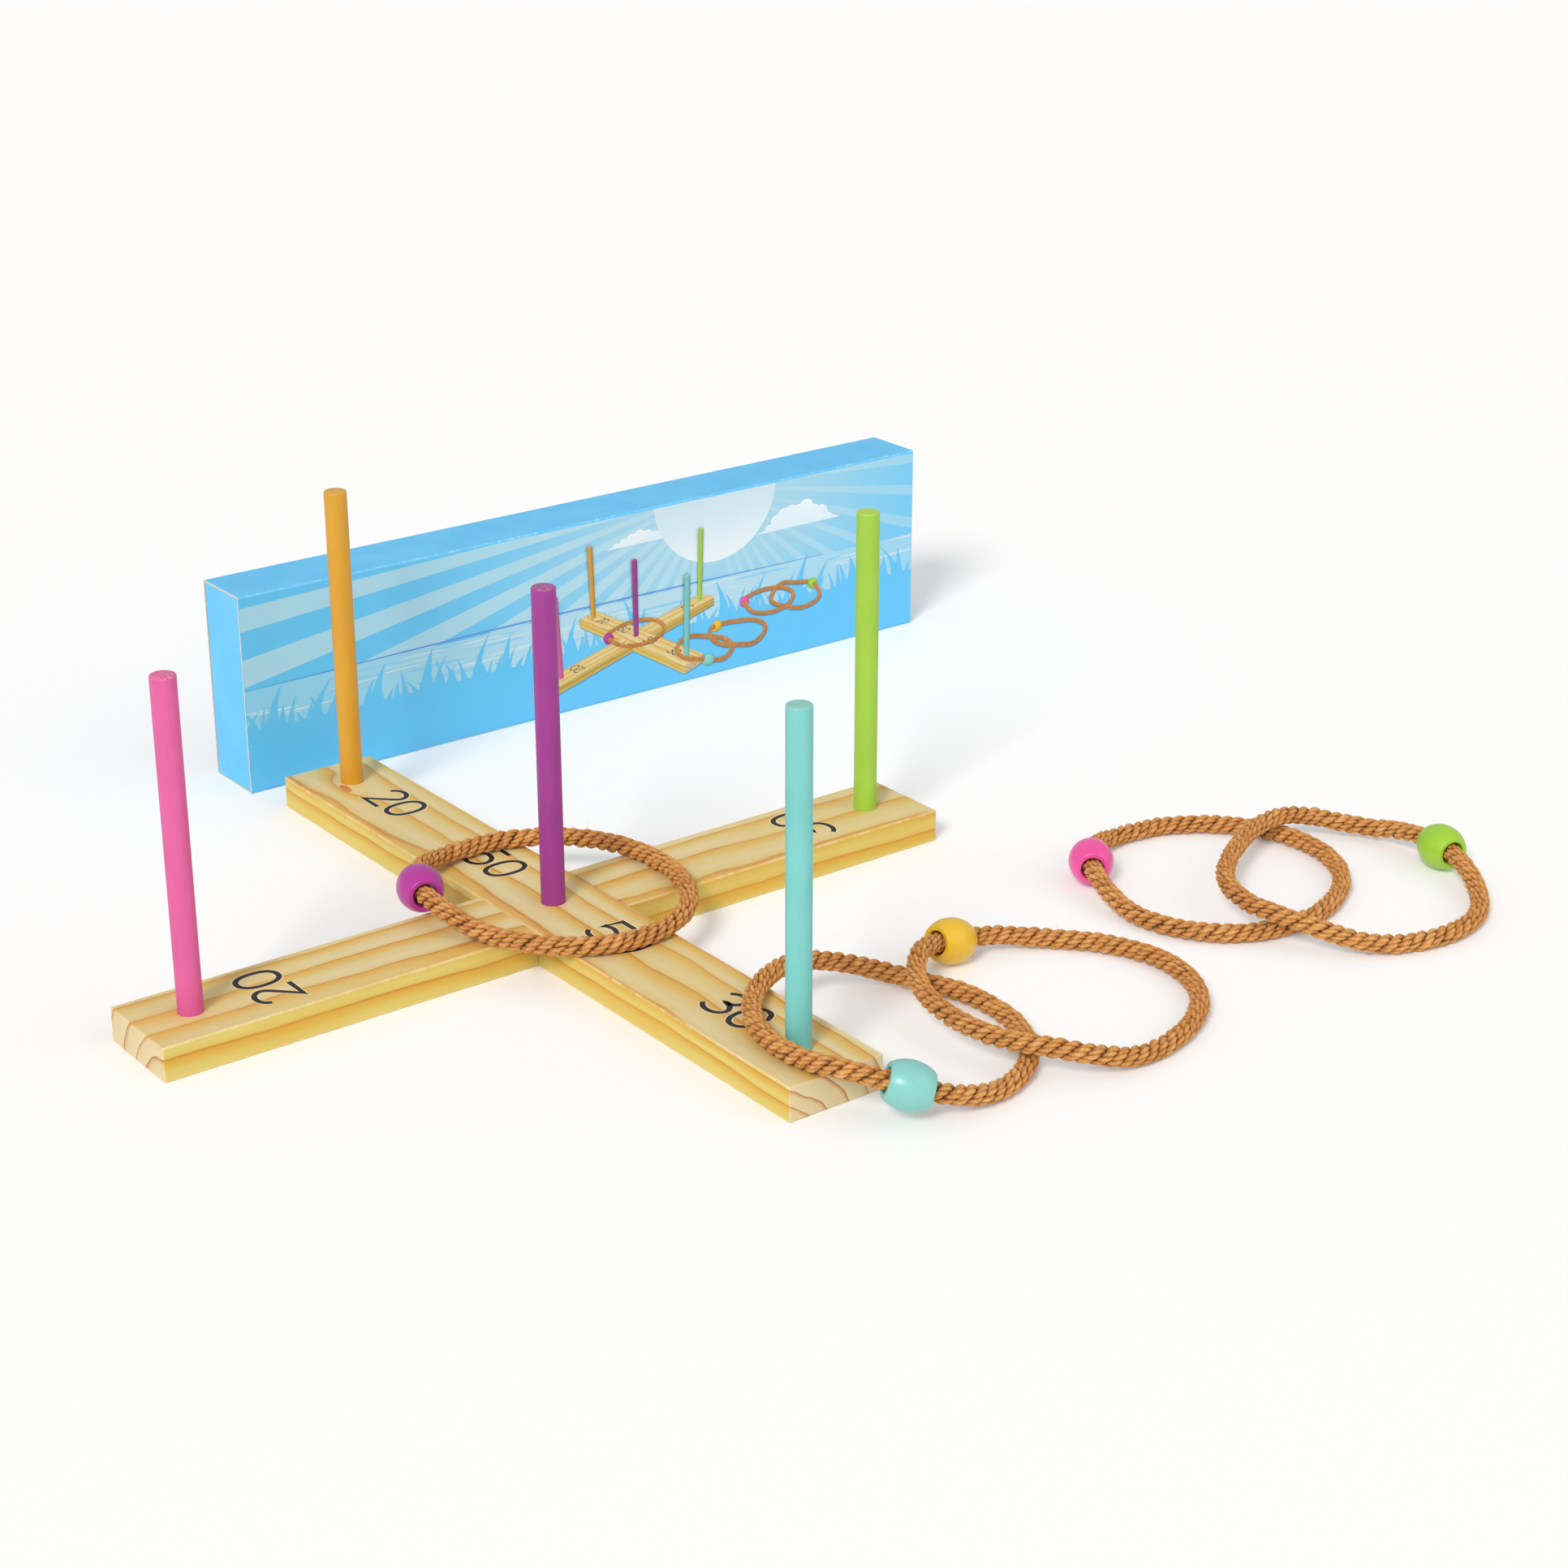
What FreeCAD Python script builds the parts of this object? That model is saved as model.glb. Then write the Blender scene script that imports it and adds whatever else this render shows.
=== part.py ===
"""Ring toss game: two crossed wooden planks, five pegs, five beaded rope rings and their carton.

Millimetres, +Z up. The origin is the middle of the cross on the ground. The lower plank runs
along X, the upper plank along Y, and the carton stands on its long narrow side behind them.
"""
import FreeCAD, Part
import Sketcher
import math
import os

V = FreeCAD.Vector
X_DIR, Y_DIR, Z_DIR = V(1, 0, 0), V(0, 1, 0), V(0, 0, 1)
HALF_TURN = 180
QUARTER_TURN = 90
NEAR = 1e-3                   # lengths closer than this are the same

# Driving dimensions, millimetres and degrees.
SIZES = {
    "plank_length": 410,
    "plank_width": 48,
    "plank_thick": 16,
    "plank_ease": 0.8,        # rounding of the planks' edges
    "lap_side_gap": 0.3,      # each side of the half-lap
    "lap_floor_gap": 0.05,    # each plank's notch is this much deeper than half its thickness
    "peg_offset": 180,        # from the middle of the cross to an outer peg
    "peg_diameter": 11,
    "peg_shown": 149,
    "peg_seat": 12,
    "peg_gap": 0.08,          # radial, in its hole
    "peg_ease": 0.9,
    "peg_lead": 0.6,          # chamfer at the foot
    "floor_gap": 0.2,         # below the foot of a seated peg
    "rope_diameter": 9.2,
    "rope_end_gap": 1,        # between the two ends that meet inside the bead
    "rest_gap": 0.15,         # between a rope and the plank it lies on
    "ground_gap": 0.1,        # between a rope and the ground
    "bead_diameter": 21,
    "bead_end_diameter": 15,
    "bead_length": 19,
    "bead_bore": 10.8,
    "bead_ease": 0.7,
    "carton_length": 430,
    "carton_height": 104,
    "carton_depth": 36,
    "carton_left": -30,
    "carton_front": 230,
    "board": 0.8,
    "board_bend": 1.1,        # outside radius of a fold along the carton
    "board_gap": 0.3,         # round a closed flap
    "tuck_tab": 10,
    "tuck_lean": 1.5,         # how far the tab's tip leans in from the back panel
    "tuck_corner": 4,
    "dust_length": 20,
    "dust_width": 30.4,
    "dust_taper": 3,
    "dust_corner": 3,
}

# One row per ring: middle, mean radius, outline, the bead's angle and the ring's lowest centre
# line above the ground. "oval" and "tri" are two- and three-fold departures from a circle.
GROUND_RING = SIZES["rope_diameter"] / 2 + SIZES["ground_gap"]
PLANK_RING = SIZES["rope_diameter"] / 2 + SIZES["plank_thick"] + SIZES["rest_gap"]
RINGS = {
    "purple": dict(x=2, y=2, radius=60, oval=0.08, oval_angle=-76, tri=0.02, tri_angle=29,
                   bead_angle=154, low=PLANK_RING),
    "cyan": dict(x=46, y=-182, radius=58.5, oval=0.03, oval_angle=75, tri=0.01, tri_angle=60,
                 bead_angle=238, low=GROUND_RING),
    "yellow": dict(x=129, y=-194, radius=61, oval=0.01, oval_angle=45, tri=0.03, tri_angle=-12,
                   bead_angle=97, low=GROUND_RING),
    "pink": dict(x=275, y=-143, radius=60.5, oval=0.035, oval_angle=40, tri=0.02, tri_angle=-13,
                 bead_angle=140, low=GROUND_RING),
    "green": dict(x=315, y=-190, radius=62, oval=0.08, oval_angle=40, tri=0.05, tri_angle=53,
                  bead_angle=-4, low=GROUND_RING),
}

# Where each ring is propped up: middle angle, half the angle held at full height, the angle of
# the slope down on either side, and the height. The first of each row is under the bead.
PROPS = {
    "purple": [(154, 10, 45, 5.9)],
    "cyan": [(238, 10, 40, 0.5), (157, 54, 70, 16.3)],
    "yellow": [(97, 10, 40, 4.6), (176, 45, 45, 9.8)],
    "pink": [(140, 10, 42, 6.1)],
    "green": [(-4, 10, 42, 6.1), (135, 60, 45, 9.8)],
}
PROP_FIELDS = ("angle", "half", "slope", "height")
PATH_POINTS = 36              # through which a rope's centre line is interpolated


def make_sheet(doc):
    """Write every driving dimension to the spreadsheet, each with its alias."""
    cells = dict(SIZES)
    for ring, values in RINGS.items():
        for name, value in values.items():
            cells[f"{ring}_{name}"] = value
        for number, prop in enumerate(PROPS[ring]):
            for name, value in zip(PROP_FIELDS, prop):
                cells[f"{ring}_prop{number}_{name}"] = value
    sheet = doc.addObject("Spreadsheet::Sheet", "Sizes")
    for row, (alias, value) in enumerate(cells.items(), start=1):
        sheet.set(f"A{row}", alias)
        sheet.set(f"B{row}", str(value))
        sheet.setAlias(f"B{row}", alias)
    doc.recompute()
    return sheet


def new_body(doc, label):
    body = doc.addObject("PartDesign::Body", label)
    body.Label = label
    return body


def new_sketch(body, name, plane, height=None):
    """A sketch on one of the body's own origin planes, lifted by the expression height."""
    sketch = body.newObject("Sketcher::SketchObject", name)
    for feature in body.Origin.OriginFeatures:
        if feature.Role == plane:
            sketch.AttachmentSupport = [(feature, "")]
    sketch.MapMode = "FlatFace"
    if height:
        sketch.setExpression("AttachmentOffset.Base.z", height)
    return sketch


def add_rectangle(sketch, wide, tall, tag):
    """A rectangle centred on the sketch's origin, sized by two expressions."""
    corners = [V(-1, -1, 0), V(1, -1, 0), V(1, 1, 0), V(-1, 1, 0)]
    first = sketch.GeometryCount
    for i in range(4):
        sketch.addGeometry(Part.LineSegment(corners[i], corners[(i + 1) % 4]))
    for i in range(4):
        sketch.addConstraint(Sketcher.Constraint("Coincident", first + i, 2, first + (i + 1) % 4, 1))
    for i, kind in enumerate(("Horizontal", "Vertical", "Horizontal", "Vertical")):
        sketch.addConstraint(Sketcher.Constraint(kind, first + i))
    sketch.addConstraint(Sketcher.Constraint("Symmetric", first, 1, first + 2, 1, -1, 1))
    for kind, line, name, size in (("DistanceX", 0, "wide", wide), ("DistanceY", 1, "tall", tall)):
        number = sketch.addConstraint(Sketcher.Constraint(kind, first + line, 1, first + line, 2, 2))
        sketch.renameConstraint(number, f"{name}_{tag}")
        sketch.setExpression(f"Constraints.{name}_{tag}", size)


def add_circle(sketch, along, diameter, tag):
    """A circle centred on the sketch's horizontal axis at the expression along."""
    index = sketch.addGeometry(Part.Circle(V(1, 0, 0), Z_DIR, 1))
    if along == "0":
        sketch.addConstraint(Sketcher.Constraint("Coincident", index, 3, -1, 1))
    else:
        sketch.addConstraint(Sketcher.Constraint("PointOnObject", index, 3, -1))
        number = sketch.addConstraint(Sketcher.Constraint("DistanceX", -1, 1, index, 3, 1))
        sketch.renameConstraint(number, f"along_{tag}")
        sketch.setExpression(f"Constraints.along_{tag}", along)
    number = sketch.addConstraint(Sketcher.Constraint("Diameter", index, 2))
    sketch.renameConstraint(number, f"diameter_{tag}")
    sketch.setExpression(f"Constraints.diameter_{tag}", diameter)


def add_outline(sketch, points):
    """A closed outline of straight lines whose corners are pairs of expressions."""
    count = len(points)
    spots = [V(math.cos(math.tau * i / count), math.sin(math.tau * i / count), 0)
             for i in range(count)]
    for i in range(count):
        sketch.addGeometry(Part.LineSegment(spots[i], spots[(i + 1) % count]))
    for i in range(count):
        sketch.addConstraint(Sketcher.Constraint("Coincident", i, 2, (i + 1) % count, 1))
    for i, (across, up) in enumerate(points):
        for kind, name, size in (("DistanceX", "across", across), ("DistanceY", "up", up)):
            number = sketch.addConstraint(Sketcher.Constraint(kind, -1, 1, i, 1, 0))
            sketch.renameConstraint(number, f"{name}_{i}")
            sketch.setExpression(f"Constraints.{name}_{i}", size)


def pad(body, sketch, name, length, midplane=False):
    feature = body.newObject("PartDesign::Pad", name)
    feature.Profile = sketch
    feature.setExpression("Length", length)
    feature.Midplane = midplane
    sketch.Document.recompute()
    return feature


def pocket(body, sketch, name, length, reverse=False):
    """Cut the sketch's outline out of the body, and make sure that something was cut."""
    before = body.Shape.Volume
    feature = body.newObject("PartDesign::Pocket", name)
    feature.Profile = sketch
    feature.setExpression("Length", length)
    feature.Reversed = reverse
    sketch.Document.recompute()
    if body.Shape.Volume >= before:
        raise RuntimeError(f"{name} cuts nothing")
    return feature


def edges_where(shape, test):
    return [f"Edge{i}" for i, edge in enumerate(shape.Edges, start=1) if test(edge)]


def ease(body, base, kind, edges, size):
    """Round (Fillet) or bevel (Chamfer) the named edges of the base feature."""
    feature = body.newObject(f"PartDesign::{kind}", f"{body.Label}_{kind}")
    feature.Base = (base, edges)
    feature.setExpression("Radius" if kind == "Fillet" else "Size", size)
    body.Document.recompute()
    return feature


def make_plank(doc, label, notch_on_top, turn):
    """One plank of the cross, along its own X, notched halfway through at the middle."""
    body = new_body(doc, label)
    outline = new_sketch(body, f"{label}_outline", "XY_Plane")
    add_rectangle(outline, "Sizes.plank_length", "Sizes.plank_width", "plank")
    block = pad(body, outline, f"{label}_block", "Sizes.plank_thick")
    ease(body, block, "Fillet", edges_where(block.Shape, lambda edge: True), "Sizes.plank_ease")

    notch = new_sketch(body, f"{label}_notch", "XY_Plane",
                       "Sizes.plank_thick / 2 - Sizes.lap_floor_gap" if notch_on_top
                       else "Sizes.plank_thick / 2 + Sizes.lap_floor_gap")
    add_rectangle(notch, "Sizes.plank_width + 2 * Sizes.lap_side_gap", "2 * Sizes.plank_width", "notch")
    pocket(body, notch, f"{label}_lap", "Sizes.plank_thick", reverse=notch_on_top)

    hole = "Sizes.peg_diameter + 2 * Sizes.peg_gap"
    ends = new_sketch(body, f"{label}_end_holes", "XY_Plane", "Sizes.plank_thick")
    add_circle(ends, "Sizes.peg_offset", hole, "near")
    far = ends.addGeometry(Part.Circle(V(-2, 0, 0), Z_DIR, 1))
    ends.addConstraint(Sketcher.Constraint("Symmetric", 0, 3, far, 3, -1, 1))
    ends.addConstraint(Sketcher.Constraint("Equal", 0, far))
    pocket(body, ends, f"{label}_end_sockets", "Sizes.peg_seat + Sizes.floor_gap")

    middle = new_sketch(body, f"{label}_middle_hole", "XY_Plane", "Sizes.plank_thick")
    add_circle(middle, "0", hole, "middle")
    pocket(body, middle, f"{label}_middle_socket", "Sizes.peg_seat + Sizes.floor_gap")
    body.Placement = FreeCAD.Placement(V(), FreeCAD.Rotation(Z_DIR, turn))
    return body


def make_peg(doc, label, along_x, along_y):
    """A round peg standing in its socket, one of the five in the cross."""
    body = new_body(doc, label)
    outline = new_sketch(body, f"{label}_outline", "XY_Plane")
    add_circle(outline, "0", "Sizes.peg_diameter", "peg")
    rod = pad(body, outline, f"{label}_rod", "Sizes.peg_shown + Sizes.peg_seat")
    top = rod.Shape.BoundBox.ZMax
    tip = ease(body, rod, "Fillet",
               edges_where(rod.Shape, lambda edge: edge.BoundBox.ZMin > top / 2), "Sizes.peg_ease")
    ease(body, tip, "Chamfer",
         edges_where(tip.Shape, lambda edge: edge.BoundBox.ZMax < top / 2 and edge.Closed),
         "Sizes.peg_lead")
    body.setExpression("Placement.Base.x", f"{along_x} * Sizes.peg_offset")
    body.setExpression("Placement.Base.y", f"{along_y} * Sizes.peg_offset")
    body.setExpression("Placement.Base.z", "Sizes.plank_thick - Sizes.peg_seat")
    return body


def smooth_step(value):
    value = min(max(value, 0), 1)
    return value * value * (3 - 2 * value)


def ring_point(sheet, ring, degrees):
    """A point of a ring's centre line, at an angle from +X about the ring's middle."""
    def size(name):
        return sheet.get(f"{ring}_{name}")

    oval = size("oval") * math.cos(math.radians(2 * (degrees - size("oval_angle"))))
    tri = size("tri") * math.cos(math.radians(3 * (degrees - size("tri_angle"))))
    reach = size("radius") * (1 + oval + tri)
    height = size("low")
    for number in range(len(PROPS[ring])):
        angle, half, slope, lift = (size(f"prop{number}_{name}") for name in PROP_FIELDS)
        away = abs((degrees - angle + HALF_TURN) % (2 * HALF_TURN) - HALF_TURN)
        height += lift * smooth_step(1 - (away - half) / slope)
    turn = math.radians(degrees)
    return V(size("x") + reach * math.cos(turn), size("y") + reach * math.sin(turn), height)


def make_rope(doc, sheet, ring):
    """The rope of a ring, swept from one side of the bead's middle round to the other."""
    parting = math.degrees(sheet.get("rope_end_gap") / 2 / sheet.get(f"{ring}_radius"))
    first = sheet.get(f"{ring}_bead_angle") + parting
    step = (2 * HALF_TURN - 2 * parting) / (PATH_POINTS - 1)
    curve = Part.BSplineCurve()
    curve.interpolate([ring_point(sheet, ring, first + i * step) for i in range(PATH_POINTS)])
    start = curve.FirstParameter
    section = Part.Circle(curve.value(start), curve.tangent(start)[0],
                          sheet.get("rope_diameter") / 2)
    spine = Part.Wire([curve.toShape()])
    make_solid, frenet = True, True
    rope = doc.addObject("Part::Feature", f"rope_{ring}")
    rope.Label = f"rope_{ring}"
    rope.Shape = spine.makePipeShell([Part.Wire([section.toShape()])], make_solid, frenet)
    rope.Placement = FreeCAD.Placement()
    return rope


def make_bead(doc, sheet, ring):
    """The barrel bead over a rope's joined ends, its bore along the rope."""
    label = f"bead_{ring}"
    body = new_body(doc, label)
    profile = new_sketch(body, f"{label}_profile", "XZ_Plane")
    half, bore = sheet.get("bead_length") / 2, sheet.get("bead_bore") / 2
    end, bulge = sheet.get("bead_end_diameter") / 2, sheet.get("bead_diameter") / 2
    profile.addGeometry(Part.LineSegment(V(bore, -half, 0), V(end, -half, 0)))
    profile.addGeometry(Part.Arc(V(end, -half, 0), V(bulge, 0, 0), V(end, half, 0)))
    profile.addGeometry(Part.LineSegment(V(end, half, 0), V(bore, half, 0)))
    profile.addGeometry(Part.LineSegment(V(bore, half, 0), V(bore, -half, 0)))
    for line, point, next_line, next_point in ((0, 2, 1, 1), (1, 2, 2, 1), (2, 2, 3, 1), (3, 2, 0, 1)):
        profile.addConstraint(Sketcher.Constraint("Coincident", line, point, next_line, next_point))
    for line in (0, 2):
        profile.addConstraint(Sketcher.Constraint("Horizontal", line))
    profile.addConstraint(Sketcher.Constraint("Symmetric", 3, 1, 3, 2, -1))
    profile.addConstraint(Sketcher.Constraint("Equal", 0, 2))
    barrel_radius = (half ** 2 + (bulge - end) ** 2) / (2 * (bulge - end))
    sizes = (
        ("DistanceX", (-1, 1, 0, 1), bore, "bore", "Sizes.bead_bore / 2"),
        ("DistanceX", (-1, 1, 0, 2), end, "end", "Sizes.bead_end_diameter / 2"),
        ("DistanceY", (3, 2, 3, 1), 2 * half, "length", "Sizes.bead_length"),
        ("Radius", (1,), barrel_radius, "barrel",
         "((Sizes.bead_length / 2) ^ 2 + ((Sizes.bead_diameter - Sizes.bead_end_diameter) / 2) ^ 2)"
         " / (Sizes.bead_diameter - Sizes.bead_end_diameter)"),
    )
    for kind, places, value, name, size in sizes:
        number = profile.addConstraint(Sketcher.Constraint(kind, *places, value))
        profile.renameConstraint(number, name)
        profile.setExpression(f"Constraints.{name}", size)
    barrel = body.newObject("PartDesign::Revolution", f"{label}_barrel")
    barrel.Profile = profile
    barrel.ReferenceAxis = (profile, ["V_Axis"])
    barrel.Angle = 2 * HALF_TURN
    doc.recompute()
    ease(body, barrel, "Fillet",
         edges_where(barrel.Shape, lambda edge: edge.Closed and edge.BoundBox.ZLength < NEAR),
         "Sizes.bead_ease")
    angle = sheet.get(f"{ring}_bead_angle")
    reach = math.degrees(sheet.get("bead_length") / 2 / sheet.get(f"{ring}_radius"))
    before, middle, after = (ring_point(sheet, ring, angle + turn) for turn in (-reach, 0, reach))
    centre = (before + middle * 2 + after) * 0.25
    body.Placement = FreeCAD.Placement(centre, FreeCAD.Rotation(Z_DIR, after - before))
    return body


def carton_end(side):
    """The X of the carton's left (-1) or right (+1) end, as an expression."""
    return "Sizes.carton_left" if side < 0 else "Sizes.carton_left + Sizes.carton_length"


def make_sleeve(doc):
    """The carton's four long panels, one folded board, its own middle at the origin."""
    body = new_body(doc, "carton_sleeve")
    section = new_sketch(body, "sleeve_section", "YZ_Plane")
    add_rectangle(section, "Sizes.carton_depth", "Sizes.carton_height", "outside")
    add_rectangle(section, "Sizes.carton_depth - 2 * Sizes.board",
                  "Sizes.carton_height - 2 * Sizes.board", "inside")
    tube = pad(body, section, "sleeve_tube", "Sizes.carton_length", midplane=True)
    length, box = tube.Length.Value, tube.Shape.BoundBox
    folds = edges_where(tube.Shape, lambda edge: edge.BoundBox.XLength > length / 2
                        and abs(abs(edge.BoundBox.Center.y) - box.YLength / 2) < NEAR)
    ease(body, tube, "Fillet", folds, "Sizes.board_bend")
    body.setExpression("Placement.Base.x", "Sizes.carton_left + Sizes.carton_length / 2")
    body.setExpression("Placement.Base.y", "Sizes.carton_front + Sizes.carton_depth / 2")
    body.setExpression("Placement.Base.z", "Sizes.carton_height / 2")
    return body


def make_tuck_flap(doc, label, side):
    """An end panel hinged on its own Z axis at the front, with a tab tucked in at the back."""
    body = new_body(doc, label)
    section = new_sketch(body, f"{label}_section", "XY_Plane")
    reach = "Sizes.carton_depth - 2 * Sizes.board - Sizes.board_gap"
    add_outline(section, [
        ("0", "Sizes.board_gap"),
        ("Sizes.board", "Sizes.board_gap"),
        ("Sizes.board", f"{reach} - Sizes.board"),
        ("Sizes.tuck_tab", f"{reach} - Sizes.board - Sizes.tuck_lean"),
        ("Sizes.tuck_tab", f"{reach} - Sizes.tuck_lean"),
        ("0", reach),
    ])
    panel = pad(body, section, f"{label}_panel",
                "Sizes.carton_height - 2 * Sizes.board - 2 * Sizes.board_gap", midplane=True)
    tab = doc.Sizes.get("tuck_tab")
    corners = ease(body, panel, "Fillet",
                   edges_where(panel.Shape, lambda edge: edge.BoundBox.XMin > tab - NEAR
                               and edge.BoundBox.ZLength < NEAR), "Sizes.tuck_corner")
    back = corners.Shape.BoundBox.YMax
    ease(body, corners, "Fillet",
         edges_where(corners.Shape, lambda edge: edge.BoundBox.YMin > back - NEAR), "Sizes.board_bend")
    body.setExpression("Placement.Base.x", carton_end(side))
    body.setExpression("Placement.Base.y", "Sizes.carton_front + Sizes.board")
    body.setExpression("Placement.Base.z", "Sizes.carton_height / 2")
    if side > 0:
        body.Placement.Rotation = FreeCAD.Rotation(Y_DIR, HALF_TURN)
    return body


def make_dust_flap(doc, label, side, level):
    """A short tapered flap hinged on its own Y axis at the top or bottom of an end."""
    body = new_body(doc, label)
    outline = new_sketch(body, f"{label}_outline", "YZ_Plane")
    add_outline(outline, [
        ("-Sizes.dust_width / 2", "-Sizes.board_gap"),
        ("-Sizes.dust_width / 2 + Sizes.dust_taper", "-Sizes.dust_length"),
        ("Sizes.dust_width / 2 - Sizes.dust_taper", "-Sizes.dust_length"),
        ("Sizes.dust_width / 2", "-Sizes.board_gap"),
    ])
    panel = pad(body, outline, f"{label}_panel", "Sizes.board")
    panel.Reversed = True
    doc.recompute()
    length = doc.Sizes.get("dust_length")
    ease(body, panel, "Fillet",
         edges_where(panel.Shape, lambda edge: edge.BoundBox.ZMax < -length + NEAR
                     and edge.BoundBox.YLength < NEAR), "Sizes.dust_corner")
    inward = "2 * Sizes.board + Sizes.board_gap"
    body.setExpression("Placement.Base.x", f"{carton_end(side)} + {-side} * ({inward})")
    body.setExpression("Placement.Base.y",
                       "Sizes.carton_front + Sizes.board + Sizes.board_gap + Sizes.dust_width / 2")
    body.setExpression("Placement.Base.z", "Sizes.carton_height - Sizes.board - Sizes.board_gap"
                       if level > 0 else "Sizes.board + Sizes.board_gap")
    if side < 0:
        body.Placement.Rotation = FreeCAD.Rotation(X_DIR, 0 if level > 0 else HALF_TURN)
    else:
        body.Placement.Rotation = FreeCAD.Rotation(Z_DIR if level > 0 else Y_DIR, HALF_TURN)
    return body


def make_parts(doc, sheet):
    parts = [
        make_plank(doc, "lower_plank", True, 0),
        make_plank(doc, "upper_plank", False, QUARTER_TURN),
        make_peg(doc, "peg_pink", -1, 0),
        make_peg(doc, "peg_lime", 1, 0),
        make_peg(doc, "peg_orange", 0, 1),
        make_peg(doc, "peg_cyan", 0, -1),
        make_peg(doc, "peg_purple", 0, 0),
    ]
    for ring in RINGS:
        parts.append(make_rope(doc, sheet, ring))
        parts.append(make_bead(doc, sheet, ring))
    parts.append(make_sleeve(doc))
    for end, side in (("left", -1), ("right", 1)):
        parts.append(make_tuck_flap(doc, f"tuck_flap_{end}", side))
        for edge, level in (("top", 1), ("bottom", -1)):
            parts.append(make_dust_flap(doc, f"dust_flap_{end}_{edge}", side, level))
    return parts


def check(doc, parts):
    """Stop before anything is written if a feature failed or a sub-part has no good shape."""
    for item in doc.Objects:
        if "Invalid" in item.State or "Error" in item.State:
            raise RuntimeError(f"{item.Label} failed: {item.State}")
    for part in parts:
        if part.Shape.isNull() or not part.Shape.isValid() or len(part.Shape.Solids) != 1:
            raise RuntimeError(f"{part.Label} has no valid single solid")


def main():
    doc = FreeCAD.newDocument("ring_toss_set")
    sheet = make_sheet(doc)
    parts = make_parts(doc, sheet)
    doc.recompute()
    check(doc, parts)
    os.makedirs("parts", exist_ok=True)
    for part in parts:
        part.Shape.exportStep(f"parts/{part.Label}.step")


main()
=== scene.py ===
"""Looks for the ring toss set: wooden cross, painted pegs, laid-rope rings with beads, printed carton."""

import math
import random

import bpy
import numpy as np
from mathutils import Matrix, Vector
from mathutils.geometry import tessellate_polygon


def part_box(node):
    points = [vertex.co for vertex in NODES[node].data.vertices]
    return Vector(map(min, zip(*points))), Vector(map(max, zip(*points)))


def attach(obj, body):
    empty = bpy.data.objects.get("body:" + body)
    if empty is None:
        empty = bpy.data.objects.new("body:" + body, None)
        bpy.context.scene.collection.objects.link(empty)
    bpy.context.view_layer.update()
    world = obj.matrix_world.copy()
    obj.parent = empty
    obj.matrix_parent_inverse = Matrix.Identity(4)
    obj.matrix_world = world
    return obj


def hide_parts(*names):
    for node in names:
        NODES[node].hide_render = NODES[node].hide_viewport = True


MM = 0.001
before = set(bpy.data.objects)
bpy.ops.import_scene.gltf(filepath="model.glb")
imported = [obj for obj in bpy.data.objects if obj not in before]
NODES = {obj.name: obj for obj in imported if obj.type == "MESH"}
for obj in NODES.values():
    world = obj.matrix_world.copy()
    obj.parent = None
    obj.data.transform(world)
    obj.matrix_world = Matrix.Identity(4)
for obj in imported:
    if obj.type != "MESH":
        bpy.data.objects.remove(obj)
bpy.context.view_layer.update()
RINGS = ("purple", "cyan", "yellow", "pink", "green")
CAMERA_AZIMUTH, CAMERA_ELEVATION, CAMERA_DISTANCE, CAMERA_FIELD = -37.5, 22.3, 1.43, 29.5
CAMERA_TARGET = (0.146, 0.02, 0.03)


def toward_camera():
    """The direction from the set to the camera, which is also the printed picture's."""
    azimuth, elevation = math.radians(CAMERA_AZIMUTH), math.radians(CAMERA_ELEVATION)
    return (math.sin(azimuth) * math.cos(elevation), -math.cos(azimuth) * math.cos(elevation),
            math.sin(elevation))


# ---------------------------------------- shader building

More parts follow.
